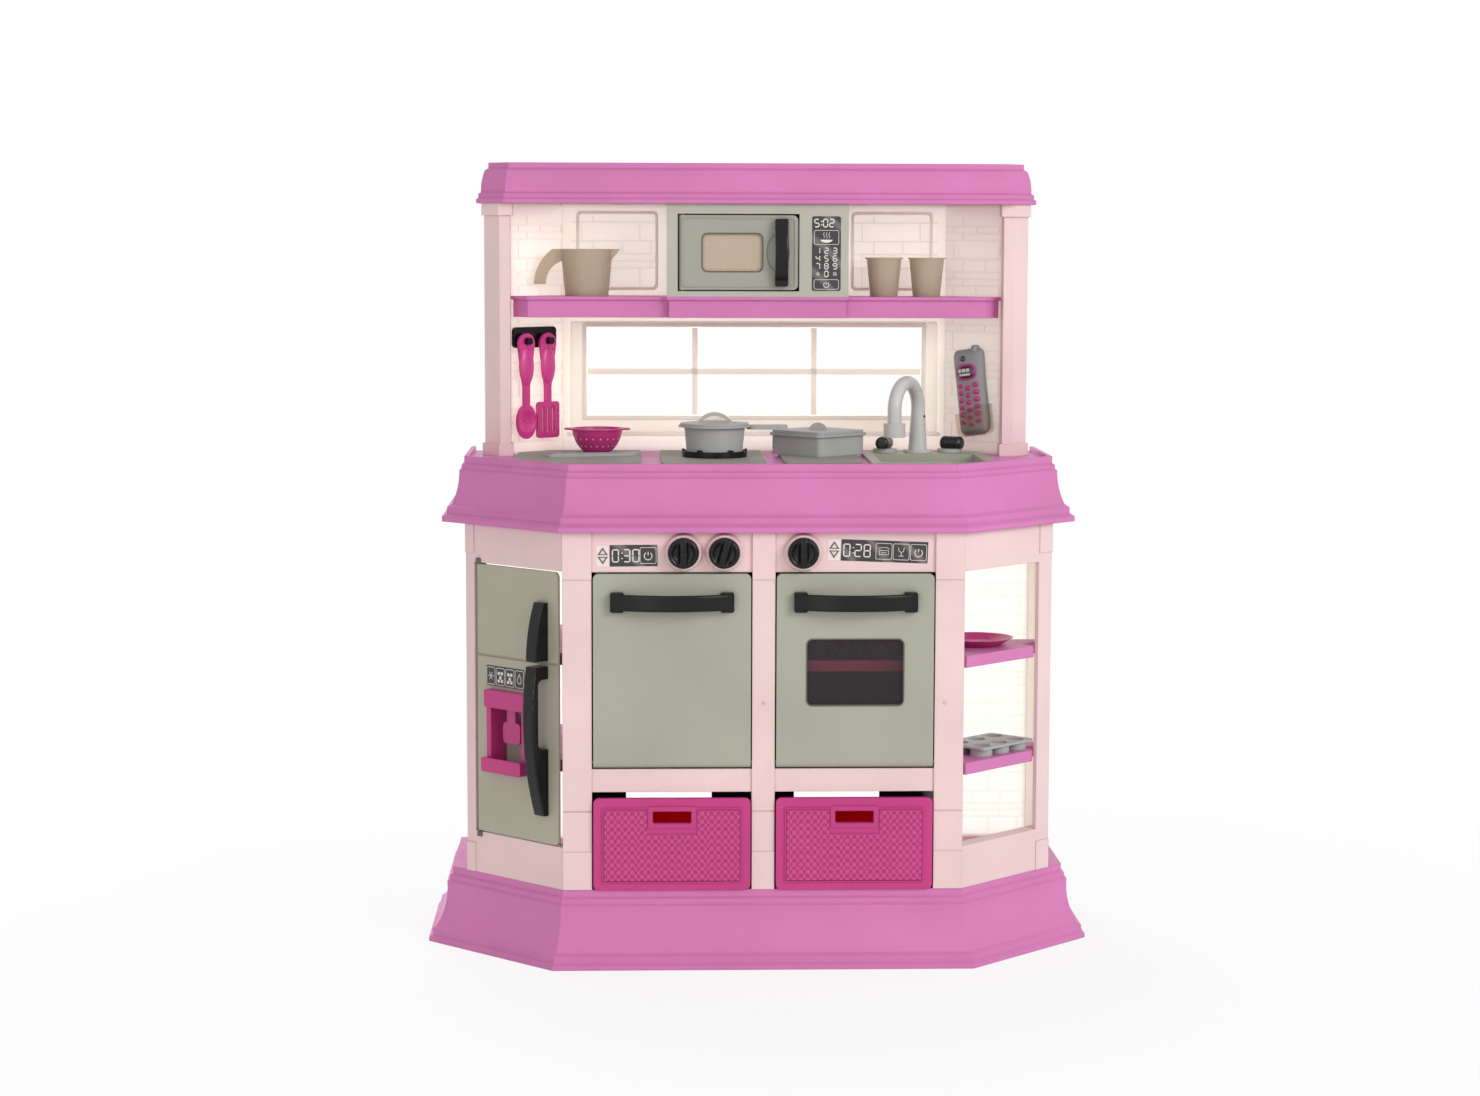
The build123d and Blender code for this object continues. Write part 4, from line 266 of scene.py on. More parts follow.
# Painted shade: the rear faces of the back panels are a greyer cream
REAR_SHADE = [("Y", BACK_Y, (214, 205, 198))]
WALL_GLOW = (255, 251, 246)
WINDOW_ZONE = (0.2155, 0.5655, 0.6995, 0.9)
dress("partitions", cream("partition_cream", grime=0.12,
                          inside=(BAYS_HALF + POST_SKIN, NO_LIMIT, COMPARTMENT_SHADE)))
dress("compartment_floors", plastic("compartment_shade", COMPARTMENT_SHADE, 0.5))
dress("lower_back_panel", cream("back_cream", grime=0.5, dust=SHADE_PALE, through=0.8,
                                beyond=("X", BAYS_HALF), through_colour=(255, 253, 249), parts=REAR_SHADE,
                                inside=(BAYS_HALF, BACK_Y, COMPARTMENT_SHADE)))
dress("hutch_side_panels", cream("hutch_cream", grime=0.6, dust=SHADE_PALE, through=0.6,
                                 through_colour=WALL_GLOW))
dress("hutch_back_panel", cream("wall_cream", grime=0.45, dust=SHADE_PALE, through=0.56,
                                through_colour=WALL_GLOW, parts=REAR_SHADE, zone=WINDOW_ZONE))
casing_cream = cream("casing_cream", grime=0, through=0.5, through_colour=(255, 254, 252))
bead_cream = cream("bead_cream", grime=0, through=0.4, through_colour=(255, 252, 248))
dress("counter_plates", plastic("plate_grey", (152, 154, 142), 0.55, Specular_IOR_Level=0.2))
for node in ("left_drawer", "right_drawer"):
    dress(node, plastic(f"{node}_red", MAGENTA, 0.34, through=0.98, through_colour=(255, 4, 80),
                        beyond=("Y", 0)))
# Painted light: the utensils take a lighter copy of the magenta, making up for the shade they hang in
utensil_lit_magenta = plastic("utensil_lit_magenta", (208, 60, 140), 0.3)
dress("spoon", utensil_lit_magenta)
dress("spatula", utensil_lit_magenta)
dress("faucet", plastic("faucet_grey", (200, 201, 198), 0.3))
front_grey = plastic("front_grey", (182, 181, 168), 0.42)
dress("microwave_front", front_grey)
dress("microwave_case", front_grey)
# Painted light: the fridge door is a warmer copy of the grey-green, for the warm light bounced onto it
dress("fridge_door", plastic("fridge_grey_warm_bounce", (177, 173, 156), 0.42, Specular_IOR_Level=0.4))
dress("microwave_door", plastic("door_grey", (160, 160, 148), 0.4))
dress("microwave_window", plastic("window_beige", (191, 172, 152), 0.24, grain=0.08, tone=0.03))
dress("cavity_racks", plastic("rack_pink", (226, 82, 140), 0.4))
tap_look = plastic("tap_on_base", SILVER, 0.3, parts=[("Z", TAP_BASE_TOP, BLACK)])
dress("left_tap", tap_look)
dress("right_tap", tap_look)
for node, name, drop, colour in (("pot_lid", "pot_lid_strap", 0.0105, (184, 180, 174)),
                                 ("casserole_lid", "casserole_knob", 0.0076, (172, 165, 158))):
    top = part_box(node)[1][2]
    dress(node, plastic(name, SILVER, 0.48, Specular_IOR_Level=0.25, parts=[("Z", top - drop, colour)]))


def place(origin, across, normal):
    """Matrix of a local drawing plane: x across, y up the face, z out of it, in millimetres."""
    x, z = Vector(across).normalized(), Vector(normal).normalized()
    y = z.cross(x)
    turn = Matrix((x, y, z)).transposed().to_4x4()
    return Matrix.Translation(Vector(origin) * MM) @ turn @ Matrix.Scale(MM, 4)


def front_place(x, y, z):
    return place((x, y, z), (1, 0, 0), (0, -1, 0))


def level_place(x, y, z):
    return place((x, y, z), (1, 0, 0), (0, 0, 1))


# Front corner of the chamfered sides, middle of a bay, and how far the fridge door stands out
CORNER_HALF, CORNER_Y, BAY_X, FRIDGE_PROUD = 219.816, -133, 100.158, 0.5


def chamfer(side, along, depth):
    """Place on a chamfered side, from its front corner on and in from its face."""
    return (side * (CORNER_HALF + (along - depth) * DIAGONAL), CORNER_Y + (along + depth) * DIAGONAL)


def fridge_place(along, out, z):
    """Plane on the fridge door's face; across runs to the front corner."""
    x, y = chamfer(-1, along, -FRIDGE_PROUD - out)
    return place((x, y, z), (DIAGONAL, -DIAGONAL, 0), (-DIAGONAL, -DIAGONAL, 0))


def piece(name, mesh, matrix, material, body, smooth=None):
    """Finished object from a bmesh drawn in millimetres on a plane."""
    bmesh.ops.recalc_face_normals(mesh, faces=mesh.faces)
    data = bpy.data.meshes.new(name)
    mesh.to_mesh(data)
    mesh.free()
    data.transform(matrix)
    made = bpy.data.objects.new(name, data)
    bpy.context.scene.collection.objects.link(made)
    data.materials.append(material)
    if smooth is not None:
        for polygon in data.polygons:
            polygon.use_smooth = True
        data.set_sharp_from_angle(angle=radians(smooth))
    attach(made, body)
    return made


def rounded(width, height, radius, steps=6):
    """Outline of a rounded rectangle about the middle."""
    points = []
    for cx, cy, start in ((1, 1, 0), (-1, 1, 90), (-1, -1, 180), (1, -1, 270)):
        for step in range(steps + 1):
            angle = radians(start + 90 * step / steps)
            points.append((cx * (width / 2 - radius) + radius * cos(angle),
                           cy * (height / 2 - radius) + radius * sin(angle)))
    return points


def circle(radius, count=32, x=0, y=0):
    return [(x + radius * cos(2 * pi * i / count), y + radius * sin(2 * pi * i / count)) for i in range(count)]


def moved(points, x, y):
    return [(px + x, py + y) for px, py in points]


def shrunk(points, by):
    """Outline moved inwards by that much, for convex outlines drawn anticlockwise."""
    out = []
    count = len(points)
    for i, point in enumerate(points):
        before, after = Vector(points[i - 1]), Vector(points[(i + 1) % count])
        here = Vector(point)
        first, second = (here - before), (after - here)
        if first.length < 1e-6 or second.length < 1e-6:
            first = second = after - before
        tangent = (first.normalized() + second.normalized()).normalized()
        normal = Vector((-tangent.y, tangent.x))
        along = first.normalized()
        lean = max(0.5, abs(normal.dot(Vector((-along.y, along.x)))))
        out.append(tuple(here + normal * by / lean))
    return out


def bridge(mesh, loops):
    """Faces between each loop of vertices and the next."""
    for one, two in zip(loops, loops[1:]):
        count = len(one)
        for i in range(count):
            mesh.faces.new((one[i], one[(i + 1) % count], two[(i + 1) % count], two[i]))


def slab(mesh, outline, low, high, soften=0.15):
    """Plate with a softened upper edge."""
    levels = [(outline, low), (outline, high - soften), (shrunk(outline, soften), high)]
    loops = [[mesh.verts.new((x, y, z)) for x, y in points] for points, z in levels]
    bridge(mesh, loops)
    mesh.faces.new(loops[-1])
    mesh.faces.new(loops[0][::-1])


def ring(mesh, outer, inner, low, high, soften=0.3):
    """Flat frame between two outlines that have the same number of points."""
    levels = [(outer, low), (outer, high - soften), (shrunk(outer, soften), high),
              (shrunk(inner, -soften), high), (inner, high - soften), (inner, low)]
    loops = [[mesh.verts.new((x, y, z)) for x, y in points] for points, z in levels]
    bridge(mesh, loops + loops[:1])


def stroke(mesh, points, width, low, high, closed=False):
    """Raised line of that width along the points."""
    count = len(points)
    sides = []
    for i, point in enumerate(points):
        here = Vector(point)
        before = Vector(points[i - 1]) if (closed or i) else None
        after = Vector(points[(i + 1) % count]) if (closed or i < count - 1) else None
        first = (here - before).normalized() if before is not None else None
        second = (after - here).normalized() if after is not None else None
        first, second = first or second, second or first
        tangent = (first + second)
        tangent = tangent.normalized() if tangent.length > 1e-6 else first
        normal = Vector((-tangent.y, tangent.x))
        lean = max(0.4, abs(normal.dot(Vector((-first.y, first.x)))))
        offset = normal * (width / 2 / lean)
        sides.append((here + offset, here - offset))
    rings = []
    for left, right in sides:
        rings.append([mesh.verts.new((*left, low)), mesh.verts.new((*right, low)),
                      mesh.verts.new((*right, high)), mesh.verts.new((*left, high))])
    pairs = list(zip(rings, rings[1:])) + ([(rings[-1], rings[0])] if closed else [])
    for one, two in pairs:
        for i in range(4):
            mesh.faces.new((one[i], one[(i + 1) % 4], two[(i + 1) % 4], two[i]))
    if not closed:
        mesh.faces.new(rings[0])
        mesh.faces.new(rings[-1][::-1])


SEGMENTS = {"a": ((0, 1), (1, 1)), "b": ((1, 1), (1, 0.5)), "c": ((1, 0.5), (1, 0)), "d": ((1, 0), (0, 0)),
            "e": ((0, 0), (0, 0.5)), "f": ((0, 0.5), (0, 1)), "g": ((0, 0.5), (1, 0.5))}
DIGITS = {"0": "abcdef", "1": "bc", "2": "abged", "3": "abgcd", "4": "fgbc", "5": "afgcd", "6": "afgedc",
          "7": "abc", "8": "abcdefg", "9": "abcdfg"}


def digits(mesh, text, x, y, width, height, line, low, high, gap=0.45):
    """Segment digits and colons from the lower left corner on."""
    for mark in text:
        if mark == ":":
            for level in (0.28, 0.72):
                slab(mesh, moved(circle(line * 0.62, 10), x + line * 0.4, y + height * level), low, high, 0.04)
            x += line * 1.9
            continue
        for name in DIGITS[mark]:
            (x0, y0), (x1, y1) = SEGMENTS[name]
            start = Vector((x + x0 * width, y + y0 * height))
            end = Vector((x + x1 * width, y + y1 * height))
            inset = (end - start).normalized() * line * 0.32
            stroke(mesh, [tuple(start + inset), tuple(end - inset)], line, low, high)
        x += width * (1 + gap)


def power_sign(mesh, x, y, radius, line, low, high):
    arc = [(x + radius * cos(radians(a)), y + radius * sin(radians(a))) for a in range(125, 416, 12)]
    stroke(mesh, arc, line, low, high)
    stroke(mesh, [(x, y + radius * 0.15), (x, y + radius * 1.1)], line, low, high)


def spokes(mesh, x, y, reach, count, line, low, high, step=0):
    """Strokes that cross in the middle, each higher than the last by the step."""
    for index in range(count):
        turn = pi * index / count
        dx, dy = reach * cos(turn), reach * sin(turn)
        stroke(mesh, [(x - dx, y - dy), (x + dx, y + dy)], line, low, high + index * step)


def panel_ink(name, colour):
    return plastic(name, colour, 0.4, grain=0.05, edge_rub_and_highlight=0, tone=0.04)


label = Shader("label_dark")
sweep = label.node("ShaderNodeTexWave", wave_type="BANDS", bands_direction="DIAGONAL")
sweep.inputs["Scale"].default_value = 16
sweep.inputs["Distortion"].default_value = 1.5
sweep.inputs["Detail"].default_value = 1
label.link(label.coordinates, sweep.inputs["Vector"])
streak = label.span(sweep.outputs["Fac"], 0, 1, 0.72, 1)
label_tint = label.mix(streak, linear((56, 50, 53)), linear((112, 105, 107)))
label.link(label_tint, label.bsdf.inputs["Base Color"])
label.link(label.span(label.noise(120), 0.3, 0.42), label.bsdf.inputs["Roughness"])
label_dark = label.material
ink = panel_ink("label_ink", (238, 236, 232))
label_silver = panel_ink("label_silver", (218, 214, 212))
label_paper = panel_ink("label_paper", (240, 222, 220))
arrow_grey = panel_ink("arrow_grey", (104, 98, 100))

# Front of the fascia, heights of a printed plate and of the signs on it, and the level below the
# surface from which raised trim starts
FASCIA = -131
PLATE, INK, ROOT = 0.35, 0.6, -0.1


def triangles(mesh, x, half, rise, gap, high):
    """Up and down arrows."""
    for way in (1, -1):
        outline = [(x - half, way * gap), (x + half, way * gap), (x, way * (gap + rise))]
        slab(mesh, outline if way > 0 else outline[::-1], 0, high, 0.2)


def control_label(side, left, right, low, high, turn, arrows_x, text, icons):
    """Printed panel on the fascia with arrows, digits and boxed signs."""
    name = "left" if side < 0 else "right"
    matrix = front_place((left + right) / 2, FASCIA, (low + high) / 2) @ Matrix.Rotation(radians(turn), 4, "Z")
    width, height = right - left, high - low
    plate = bmesh.new()
    slab(plate, rounded(width, height, 0.6, 3), 0, PLATE, 0.1)
    piece(f"{name}_display", plate, matrix, label_dark, "cabinet")
    marks = bmesh.new()
    tall = height * 0.56
    wide = tall * 0.5
    digits(marks, text, -width / 2 + 3, -tall / 2, wide, tall, 1.3, PLATE, INK, 0.5)
    box = height * 0.74
    x = width / 2 - 1.5 - box / 2
    for icon in icons[::-1]:
        stroke(marks, moved(rounded(box, box, 1.5, 3), x, 0), 0.6, PLATE, INK, closed=True)
        if icon == "power":
            power_sign(marks, x, -0.5, box * 0.24, 0.95, PLATE, INK)
        elif icon == "dish":
            stroke(marks, [(x - 5, -3.6), (x + 5, -3.6), (x + 5, 1), (x - 5, 1)], 0.6, PLATE, INK, closed=True)
            stroke(marks, [(x - 6, 2.6), (x - 3, 4.2), (x + 3, 4.2), (x + 6, 2.6)], 0.6, PLATE, INK)
            stroke(marks, [(x - 3, -1.4), (x + 3, -1.4)], 0.6, PLATE, INK)
        else:
            glass = [(x - 3.2, 4.8), (x - 2.4, 0.8), (x, -0.6), (x + 2.4, 0.8), (x + 3.2, 4.8)]
            stroke(marks, glass, 0.6, PLATE, INK)
            stroke(marks, [(x, -0.6), (x, -4.4)], 0.7, PLATE, INK)
            stroke(marks, [(x - 2.6, -4.6), (x + 2.6, -4.6)], 0.7, PLATE, INK)
        x -= box + 1.6
    piece(f"{name}_display_signs", marks, matrix, ink, "cabinet")
    arrows_at = arrows_x - (left + right) / 2
    paper = bmesh.new()
    slab(paper, moved(rounded(14.5, height, 0.8, 3), arrows_at, 0), 0, PLATE, 0.1)
    piece(f"{name}_display_paper", paper, matrix, label_paper, "cabinet")
    for part, half, rise, gap, high, tone in (("arrows", 6, 8.8, 0.8, 0.6, arrow_grey),
                                              ("arrow_lights", 3.2, 4.6, 2, 0.85, label_silver)):
        arrows = bmesh.new()
        triangles(arrows, arrows_at, half, rise, gap, high)
        piece(f"{name}_display_{part}", arrows, matrix, tone, "cabinet")


control_label(-1, left=-168, right=-116, low=441.5, high=465, turn=0.5, arrows_x=-175.6, text="0:30",
              icons=["power"])
control_label(1, left=84, right=179, low=446, high=469.5, turn=-2, arrows_x=76.4, text="0:28",
              icons=["dish", "glass", "power"])

# Microwave keypad: clock, bowl sign, digit keys and a power key
KEYPAD_SPOT, KEYPAD_WIDE, KEYPAD_TALL, KEY_WIDE = (78.5, 62, 779.5), 33, 85, 28
CLOCK_Y, BOWL_Y, POWER_Y = 30.5, 18.5, -35
KEY_PITCH_X, KEY_PITCH_Y, FIRST_ROW = 9.8, 8.8, 3.4
matrix = front_place(*KEYPAD_SPOT)
plate = bmesh.new()
slab(plate, rounded(KEYPAD_WIDE, KEYPAD_TALL, 2.5), 0, PLATE, 0.1)
piece("microwave_keypad", plate, matrix, label_dark, "cabinet")
marks = bmesh.new()
digits(marks, "5:02", -13.5, CLOCK_Y, 4.8, 8.6, 1.4, PLATE, INK, 0.5)
stroke(marks, moved(rounded(KEY_WIDE, 16, 2, 4), 0, BOWL_Y), 0.6, PLATE, INK, closed=True)
bowl = [(7 * cos(radians(a)), BOWL_Y - 2.5 + 3.6 * sin(radians(a))) for a in range(180, 361, 12)]
slab(marks, bowl, PLATE, INK, 0.05)
for lean in (-3, 0, 3):
    steam = [(lean, 17.5), (lean + 0.8, 19.5), (lean - 0.6, 22), (lean + 0.6, 24.5)]
    stroke(marks, steam, 0.6, PLATE, INK)
for row, texts in enumerate(("123", "456", "789", "*0#")):
    for column, text in enumerate(texts):
        x, y = (column - 1) * KEY_PITCH_X, FIRST_ROW - row * KEY_PITCH_Y
        if text == "*":
            spokes(marks, x, y, 2, 3, 0.8, PLATE, INK)
        elif text == "#":
            for shift in (-1, 1):
                stroke(marks, [(x + shift, y - 2.4), (x + shift, y + 2.4)], 0.7, PLATE, INK)
                stroke(marks, [(x - 2.4, y + shift), (x + 2.4, y + shift)], 0.7, PLATE, INK)
        else:
            digits(marks, text, x - 2.1, y - 3.1, 4.2, 6.2, 1.2, PLATE, INK)
stroke(marks, moved(rounded(KEY_WIDE, 11, 2, 4), 0, POWER_Y), 0.6, PLATE, INK, closed=True)
power_sign(marks, 0, POWER_Y - 0.6, 3, 0.9, PLATE, INK)
piece("microwave_keypad_signs", marks, matrix, ink, "cabinet")

# Fridge icon strip
STRIP_ALONG, STRIP_Z, STRIP_WIDE, STRIP_TALL = 91, 310.5, 62, 23
SIGN_WIDE, SIGN_TALL, SIGN_PITCH, FIRST_SIGN = 13.4, 19, 15.5, -23.2
matrix = fridge_place(STRIP_ALONG, 0, STRIP_Z)
plate = bmesh.new()
slab(plate, rounded(STRIP_WIDE, STRIP_TALL, 2), 0, PLATE, 0.1)
piece("fridge_strip", plate, matrix, label_dark, "fridge_door")
marks = bmesh.new()
for index in range(4):
    x = FIRST_SIGN + index * SIGN_PITCH
    stroke(marks, moved(rounded(SIGN_WIDE, SIGN_TALL, 1.5, 3), x, 0), 0.7, PLATE, INK, closed=True)
    if index == 0:
        spokes(marks, x, 0, 4.6, 3, 0.8, PLATE, INK)
    elif index == 3:
        drop = [(x, 5.5), (x + 3.2, -0.5), (x + 2.4, -3.8), (x, -5), (x - 2.4, -3.8), (x - 3.2, -0.5)]
        stroke(marks, drop, 0.9, PLATE, INK, closed=True)
    else:
        for dx, dy in ((-2.4, 3.6), (2.4, 3.6), (0, -1.2), (-2.6, -5), (2.6, -5)):
            slab(marks, moved(rounded(3.6, 3.6, 0.6, 2), x + dx, dy), PLATE, INK, 0.05)
piece("fridge_strip_signs", marks, matrix, ink, "fridge_door")

# Back of the dispenser, in the plastic of the grey fronts
RECESS_ALONG, RECESS_Z, RECESS_DEEP, RECESS_WIDE, RECESS_TALL = 84.823, 250, 19, 49.4, 77.4
plate = bmesh.new()
slab(plate, rounded(RECESS_WIDE, RECESS_TALL, 2), 0, 0.6, 0.1)
recess_place = fridge_place(RECESS_ALONG, -RECESS_DEEP, RECESS_Z)
piece("dispenser_back", plate, recess_place, look["grey_green"], "fridge_door")

# Basket weave on the drawer fronts, with a plain tab round the finger slot; its crests are painted lighter and
# its hollows darker as light and shade
WEAVE_WIDE, WEAVE_TALL, STRAND, ROW, WEAVE_RISE = 148.5, 78.2, 7.3, 8.8, 1.7
WEAVE_FOOT, CELL_X, CELL_Y = 0.2, 1.5, 1.15
TAB_HALF, TAB_DROP, SLOT_Z, WEAVE_Z = 28, 27, 165.3, 134
SLOT_RISE, DRAWER_FRONT = SLOT_Z - WEAVE_Z, -137.8
TAB_OUTER, TAB_INNER = (53, 24, 2.5), (43, 14, 1.4)
BORDER_OUTER, BORDER_INNER = (153.5, 83.5, 1.5), (150, 80, 0.8)
across, rows = int(WEAVE_WIDE / CELL_X), int(WEAVE_TALL / CELL_Y)
weave_painted_lit = plastic("weave_painted_lit", (203, 66, 140), 0.34)
weave_painted_shade = plastic("weave_painted_shade", (172, 40, 106), 0.36)
for side, body in ((-1, "left_drawer"), (1, "right_drawer")):
    weave = bmesh.new()
    grid = {}
    for i in range(across + 1):
        for j in range(rows + 1):
            x = i * CELL_X - across * CELL_X / 2
            y = j * CELL_Y
            swell = 0.5 + 0.5 * cos(2 * pi * x / STRAND) * cos(2 * pi * y / ROW)
            grid[i, j] = weave.verts.new((x, y - WEAVE_TALL / 2, WEAVE_FOOT + WEAVE_RISE * swell))
    for i in range(across):
        for j in range(rows):
            corners = (grid[i, j], grid[i + 1, j], grid[i + 1, j + 1], grid[i, j + 1])
            first = corners[0].co
            if abs(first.x + CELL_X / 2) < TAB_HALF and first.y > WEAVE_TALL / 2 - TAB_DROP:
                continue
            cell = weave.faces.new(corners)
            # Painted shade: cells lower than the middle of the weave take the darker copy of the magenta
            cell.material_index = int(sum(c.co.z for c in corners) / 4 < WEAVE_FOOT + WEAVE_RISE / 2)
    bmesh.ops.delete(weave, geom=[v for v in weave.verts if not v.link_faces], context="VERTS")
    rim = [e for e in weave.edges if e.is_boundary]
    skirt = bmesh.ops.extrude_edge_only(weave, edges=rim)["geom"]
    for vertex in [g for g in skirt if isinstance(g, bmesh.types.BMVert)]:
        vertex.co.z = ROOT
    front = front_place(side * BAY_X, DRAWER_FRONT, WEAVE_Z)
    made = piece(f"{body}_weave", weave, front, weave_painted_lit, body, smooth=50)
    made.data.materials.append(weave_painted_shade)
    tab = bmesh.new()
    outer, inner = (moved(rounded(*sizes), 0, SLOT_RISE) for sizes in (TAB_OUTER, TAB_INNER))
    ring(tab, outer, inner, ROOT, 1)
    ring(tab, rounded(*BORDER_OUTER), rounded(*BORDER_INNER), ROOT, 0.8)
    piece(f"{body}_tab", tab, front, look["magenta"], body, smooth=40)

# Hutch walls: window casing with glazing beads and a sill, framed brick panels
WALL_Y, WINDOW_Z, PANE_WIDE, PANE_TALL, BEAD_X = 150, 641, 394, 104, 70
CASING_WIDE, CASING_TALL, CASING_DROP = 432, 131, 6.5
SILL_WIDE, SILL_TALL, SILL_DROP = 440, 5, 73.5
wall = front_place(0, WALL_Y, WINDOW_Z)
casing = bmesh.new()
board = moved(rounded(CASING_WIDE, CASING_TALL, 3), 0, -CASING_DROP)
ring(casing, board, rounded(PANE_WIDE, PANE_TALL, 1), ROOT, 1.5, 0.5)
step, rebate = rounded(PANE_WIDE + 10, PANE_TALL + 10, 1.5), rounded(PANE_WIDE + 1, PANE_TALL + 1, 1)
ring(casing, step, rebate, 1.2, 2.8, 0.5)
slab(casing, moved(rounded(SILL_WIDE, SILL_TALL, 2), 0, -SILL_DROP), ROOT, 3, 0.8)
beads = bmesh.new()
reach_x, reach_y = PANE_WIDE / 2 - 1, PANE_TALL / 2 - 1
stroke(beads, [(-reach_x, 0), (reach_x, 0)], 6.4, ROOT, 1.2)
for x in (-BEAD_X, BEAD_X):
    stroke(beads, [(x, -reach_y), (x, reach_y)], 6.2, ROOT, 1.1)
piece("window_beads", beads, wall, bead_cream, "cabinet")
piece("window_casing", casing, wall, casing_cream, "cabinet", smooth=40)
PANEL_X, PANEL_RISE = 161, 141
PANEL_OUTER, PANEL_INNER = (96, 92, 6), (89, 85, 4)
panels = bmesh.new()
for side in (-1, 1):
    outer, inner = (moved(rounded(*sizes), side * PANEL_X, PANEL_RISE) for sizes in (PANEL_OUTER, PANEL_INNER))
    ring(panels, outer, inner, ROOT, 1.4, 0.5)
piece("hutch_panel_frames", panels, wall, casing_cream, "cabinet", smooth=40)

# Microwave door: bead along its edge; dark rims round the microwave pane and the oven window, painted shadow of
# their recesses
MICROWAVE_SPOT, OVEN_SPOT, PANE_RIM = (-29, 61, 780.5), (BAY_X, -135, 325), 3
EDGE_OUTER, EDGE_INNER, EDGE_SHIFT = (131, 80, 5), (127, 76, 4), 7
bead = bmesh.new()
outer, inner = (moved(rounded(*sizes), EDGE_SHIFT, 0) for sizes in (EDGE_OUTER, EDGE_INNER))
ring(bead, outer, inner, ROOT, 0.8, 0.4)
piece("microwave_door_bead", bead, front_place(*MICROWAVE_SPOT), nodes["microwave_door"].data.materials[0],
      "microwave_door", smooth=40)
# Painted shadow: a dark rim round each pane where its recess is in shade. The hinge caps use the same dark
# colour as their own.
pane_shade_and_cap_look = plastic("pane_shade_rim", (96, 92, 82), 0.4)
for name, body, width, tall, spot in (("microwave", "microwave_door", 68, 42, MICROWAVE_SPOT),
                                      ("oven", "oven_door", 105, 72, OVEN_SPOT)):
    rim = bmesh.new()
    ring(rim, rounded(width + PANE_RIM, tall + PANE_RIM, 7), rounded(width, tall, 6), ROOT, 0.5, 0.2)
    piece(f"{name}_pane_shade_rim", rim, front_place(*spot), pane_shade_and_cap_look, body, smooth=40)

# Caps of the fridge door's pins
PIN_ALONG, PIN_DEPTH, CAP_RADIUS, CAP_TALL = 134.8, 1.2, 4.4, 5.8
for name, low in (("upper", 435.2), ("lower", 125.8)):
    cap = bmesh.new()
    slab(cap, circle(CAP_RADIUS, 24), 0, CAP_TALL, 1.2)
    cap_place = level_place(*chamfer(-1, PIN_ALONG, PIN_DEPTH), low)
    piece(f"{name}_hinge_cap", cap, cap_place, pane_shade_and_cap_look, "cabinet", smooth=40)


def ease(share):
    share = max(0, min(1, share))
    return share * share * (3 - 2 * share)


# Knobs: round, with an upright grip bar between two finger hollows
KNOB_SIDES, KNOB_RADIUS, KNOB_Y, KNOB_Z = 72, 16.5, -138, 457
KNOB_RINGS = (2, 3.5, 4.5, 5.5, 6.5, 7.5, 9, 10.5, 12, 13.2, 14.2, 15, 15.6, 16, 16.3)
BAR_HALF, BAR_FLANK, BAR_TALL, BAR_CROWN = 2.6, 3.6, 14.6, 1.4
HOLLOW_TALL, HOLLOW_RISE, EDGE_DROP = 8, 3, 2.2
for name, x, lean in (("left_knob", -88, 0), ("middle_knob", -43.5, -16), ("right_knob", 42.5, 0)):
    grip = bmesh.new()
    loops = []
    for radius in KNOB_RINGS:
        loop = []
        for px, py in circle(radius, KNOB_SIDES):
            bar = 1 - ease((abs(px) - BAR_HALF) / BAR_FLANK)
            crest = BAR_TALL - BAR_CROWN * (py / 16) ** 2
            hollow = HOLLOW_TALL + HOLLOW_RISE * ease((radius - 9) / 6)
            edge = EDGE_DROP * max(0, (radius - 14) / 2.3) ** 2
            loop.append(grip.verts.new((px, py, hollow + (crest - hollow) * bar - edge)))
        loops.append(loop)
    loops.append([grip.verts.new((px, py, 0)) for px, py in circle(KNOB_RADIUS, KNOB_SIDES)])
    bridge(grip, loops)
    grip.faces.new(loops[0])
    grip.faces.new(loops[-1][::-1])
    turned = front_place(x, KNOB_Y, KNOB_Z) @ Matrix.Rotation(radians(lean), 4, "Z")
    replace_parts(piece(f"{name}_grip", grip, turned, look["black"], name, smooth=35), name)

# Plugs over the screw holes of two posts, screw of the faucet, strainer of the sink
PLUG_RADIUS, PLUG_Z = 2.3, 291
plug_look = plastic("plug_pink", (224, 180, 186), 0.4)
for name, x in (("centre", 0), ("right", 199)):
    plug = bmesh.new()
    slab(plug, circle(PLUG_RADIUS, 20), 2 * ROOT, 0.5, 0.3)
    plug_place = front_place(x, CORNER_Y, PLUG_Z)
    piece(f"{name}_post_plug", plug, plug_place, plug_look, "cabinet", smooth=40)
FAUCET_X, FAUCET_Y, SCREW_OUT, SCREW_Z, SCREW_TURN = 188, 92, 8.4, 592, radians(-35)
out_x, out_y = cos(SCREW_TURN), sin(SCREW_TURN)
screw_spot = (FAUCET_X + SCREW_OUT * out_x, FAUCET_Y + SCREW_OUT * out_y, SCREW_Z)
dot = bmesh.new()
slab(dot, circle(1.8, 16), -1.2, 0.5, 0.3)
piece("faucet_screw", dot, place(screw_spot, (-out_y, out_x, 0), (out_x, out_y, 0)), look["black"], "faucet",
      smooth=40)
STRAINER_SPOT, STRAINER_OUTER, STRAINER_INNER, SPOKE_REACH = (192, -0.5, 507), 14, 10.5, 11
drain = bmesh.new()
ring(drain, circle(STRAINER_OUTER, 40), circle(STRAINER_INNER, 40), 2 * ROOT, 1.3, 0.4)
spokes(drain, 0, 0, SPOKE_REACH, 4, 1.4, 2 * ROOT, 0.7, 0.045)
piece("sink_strainer", drain, level_place(*STRAINER_SPOT), look["steel"], "cabinet", smooth=40)

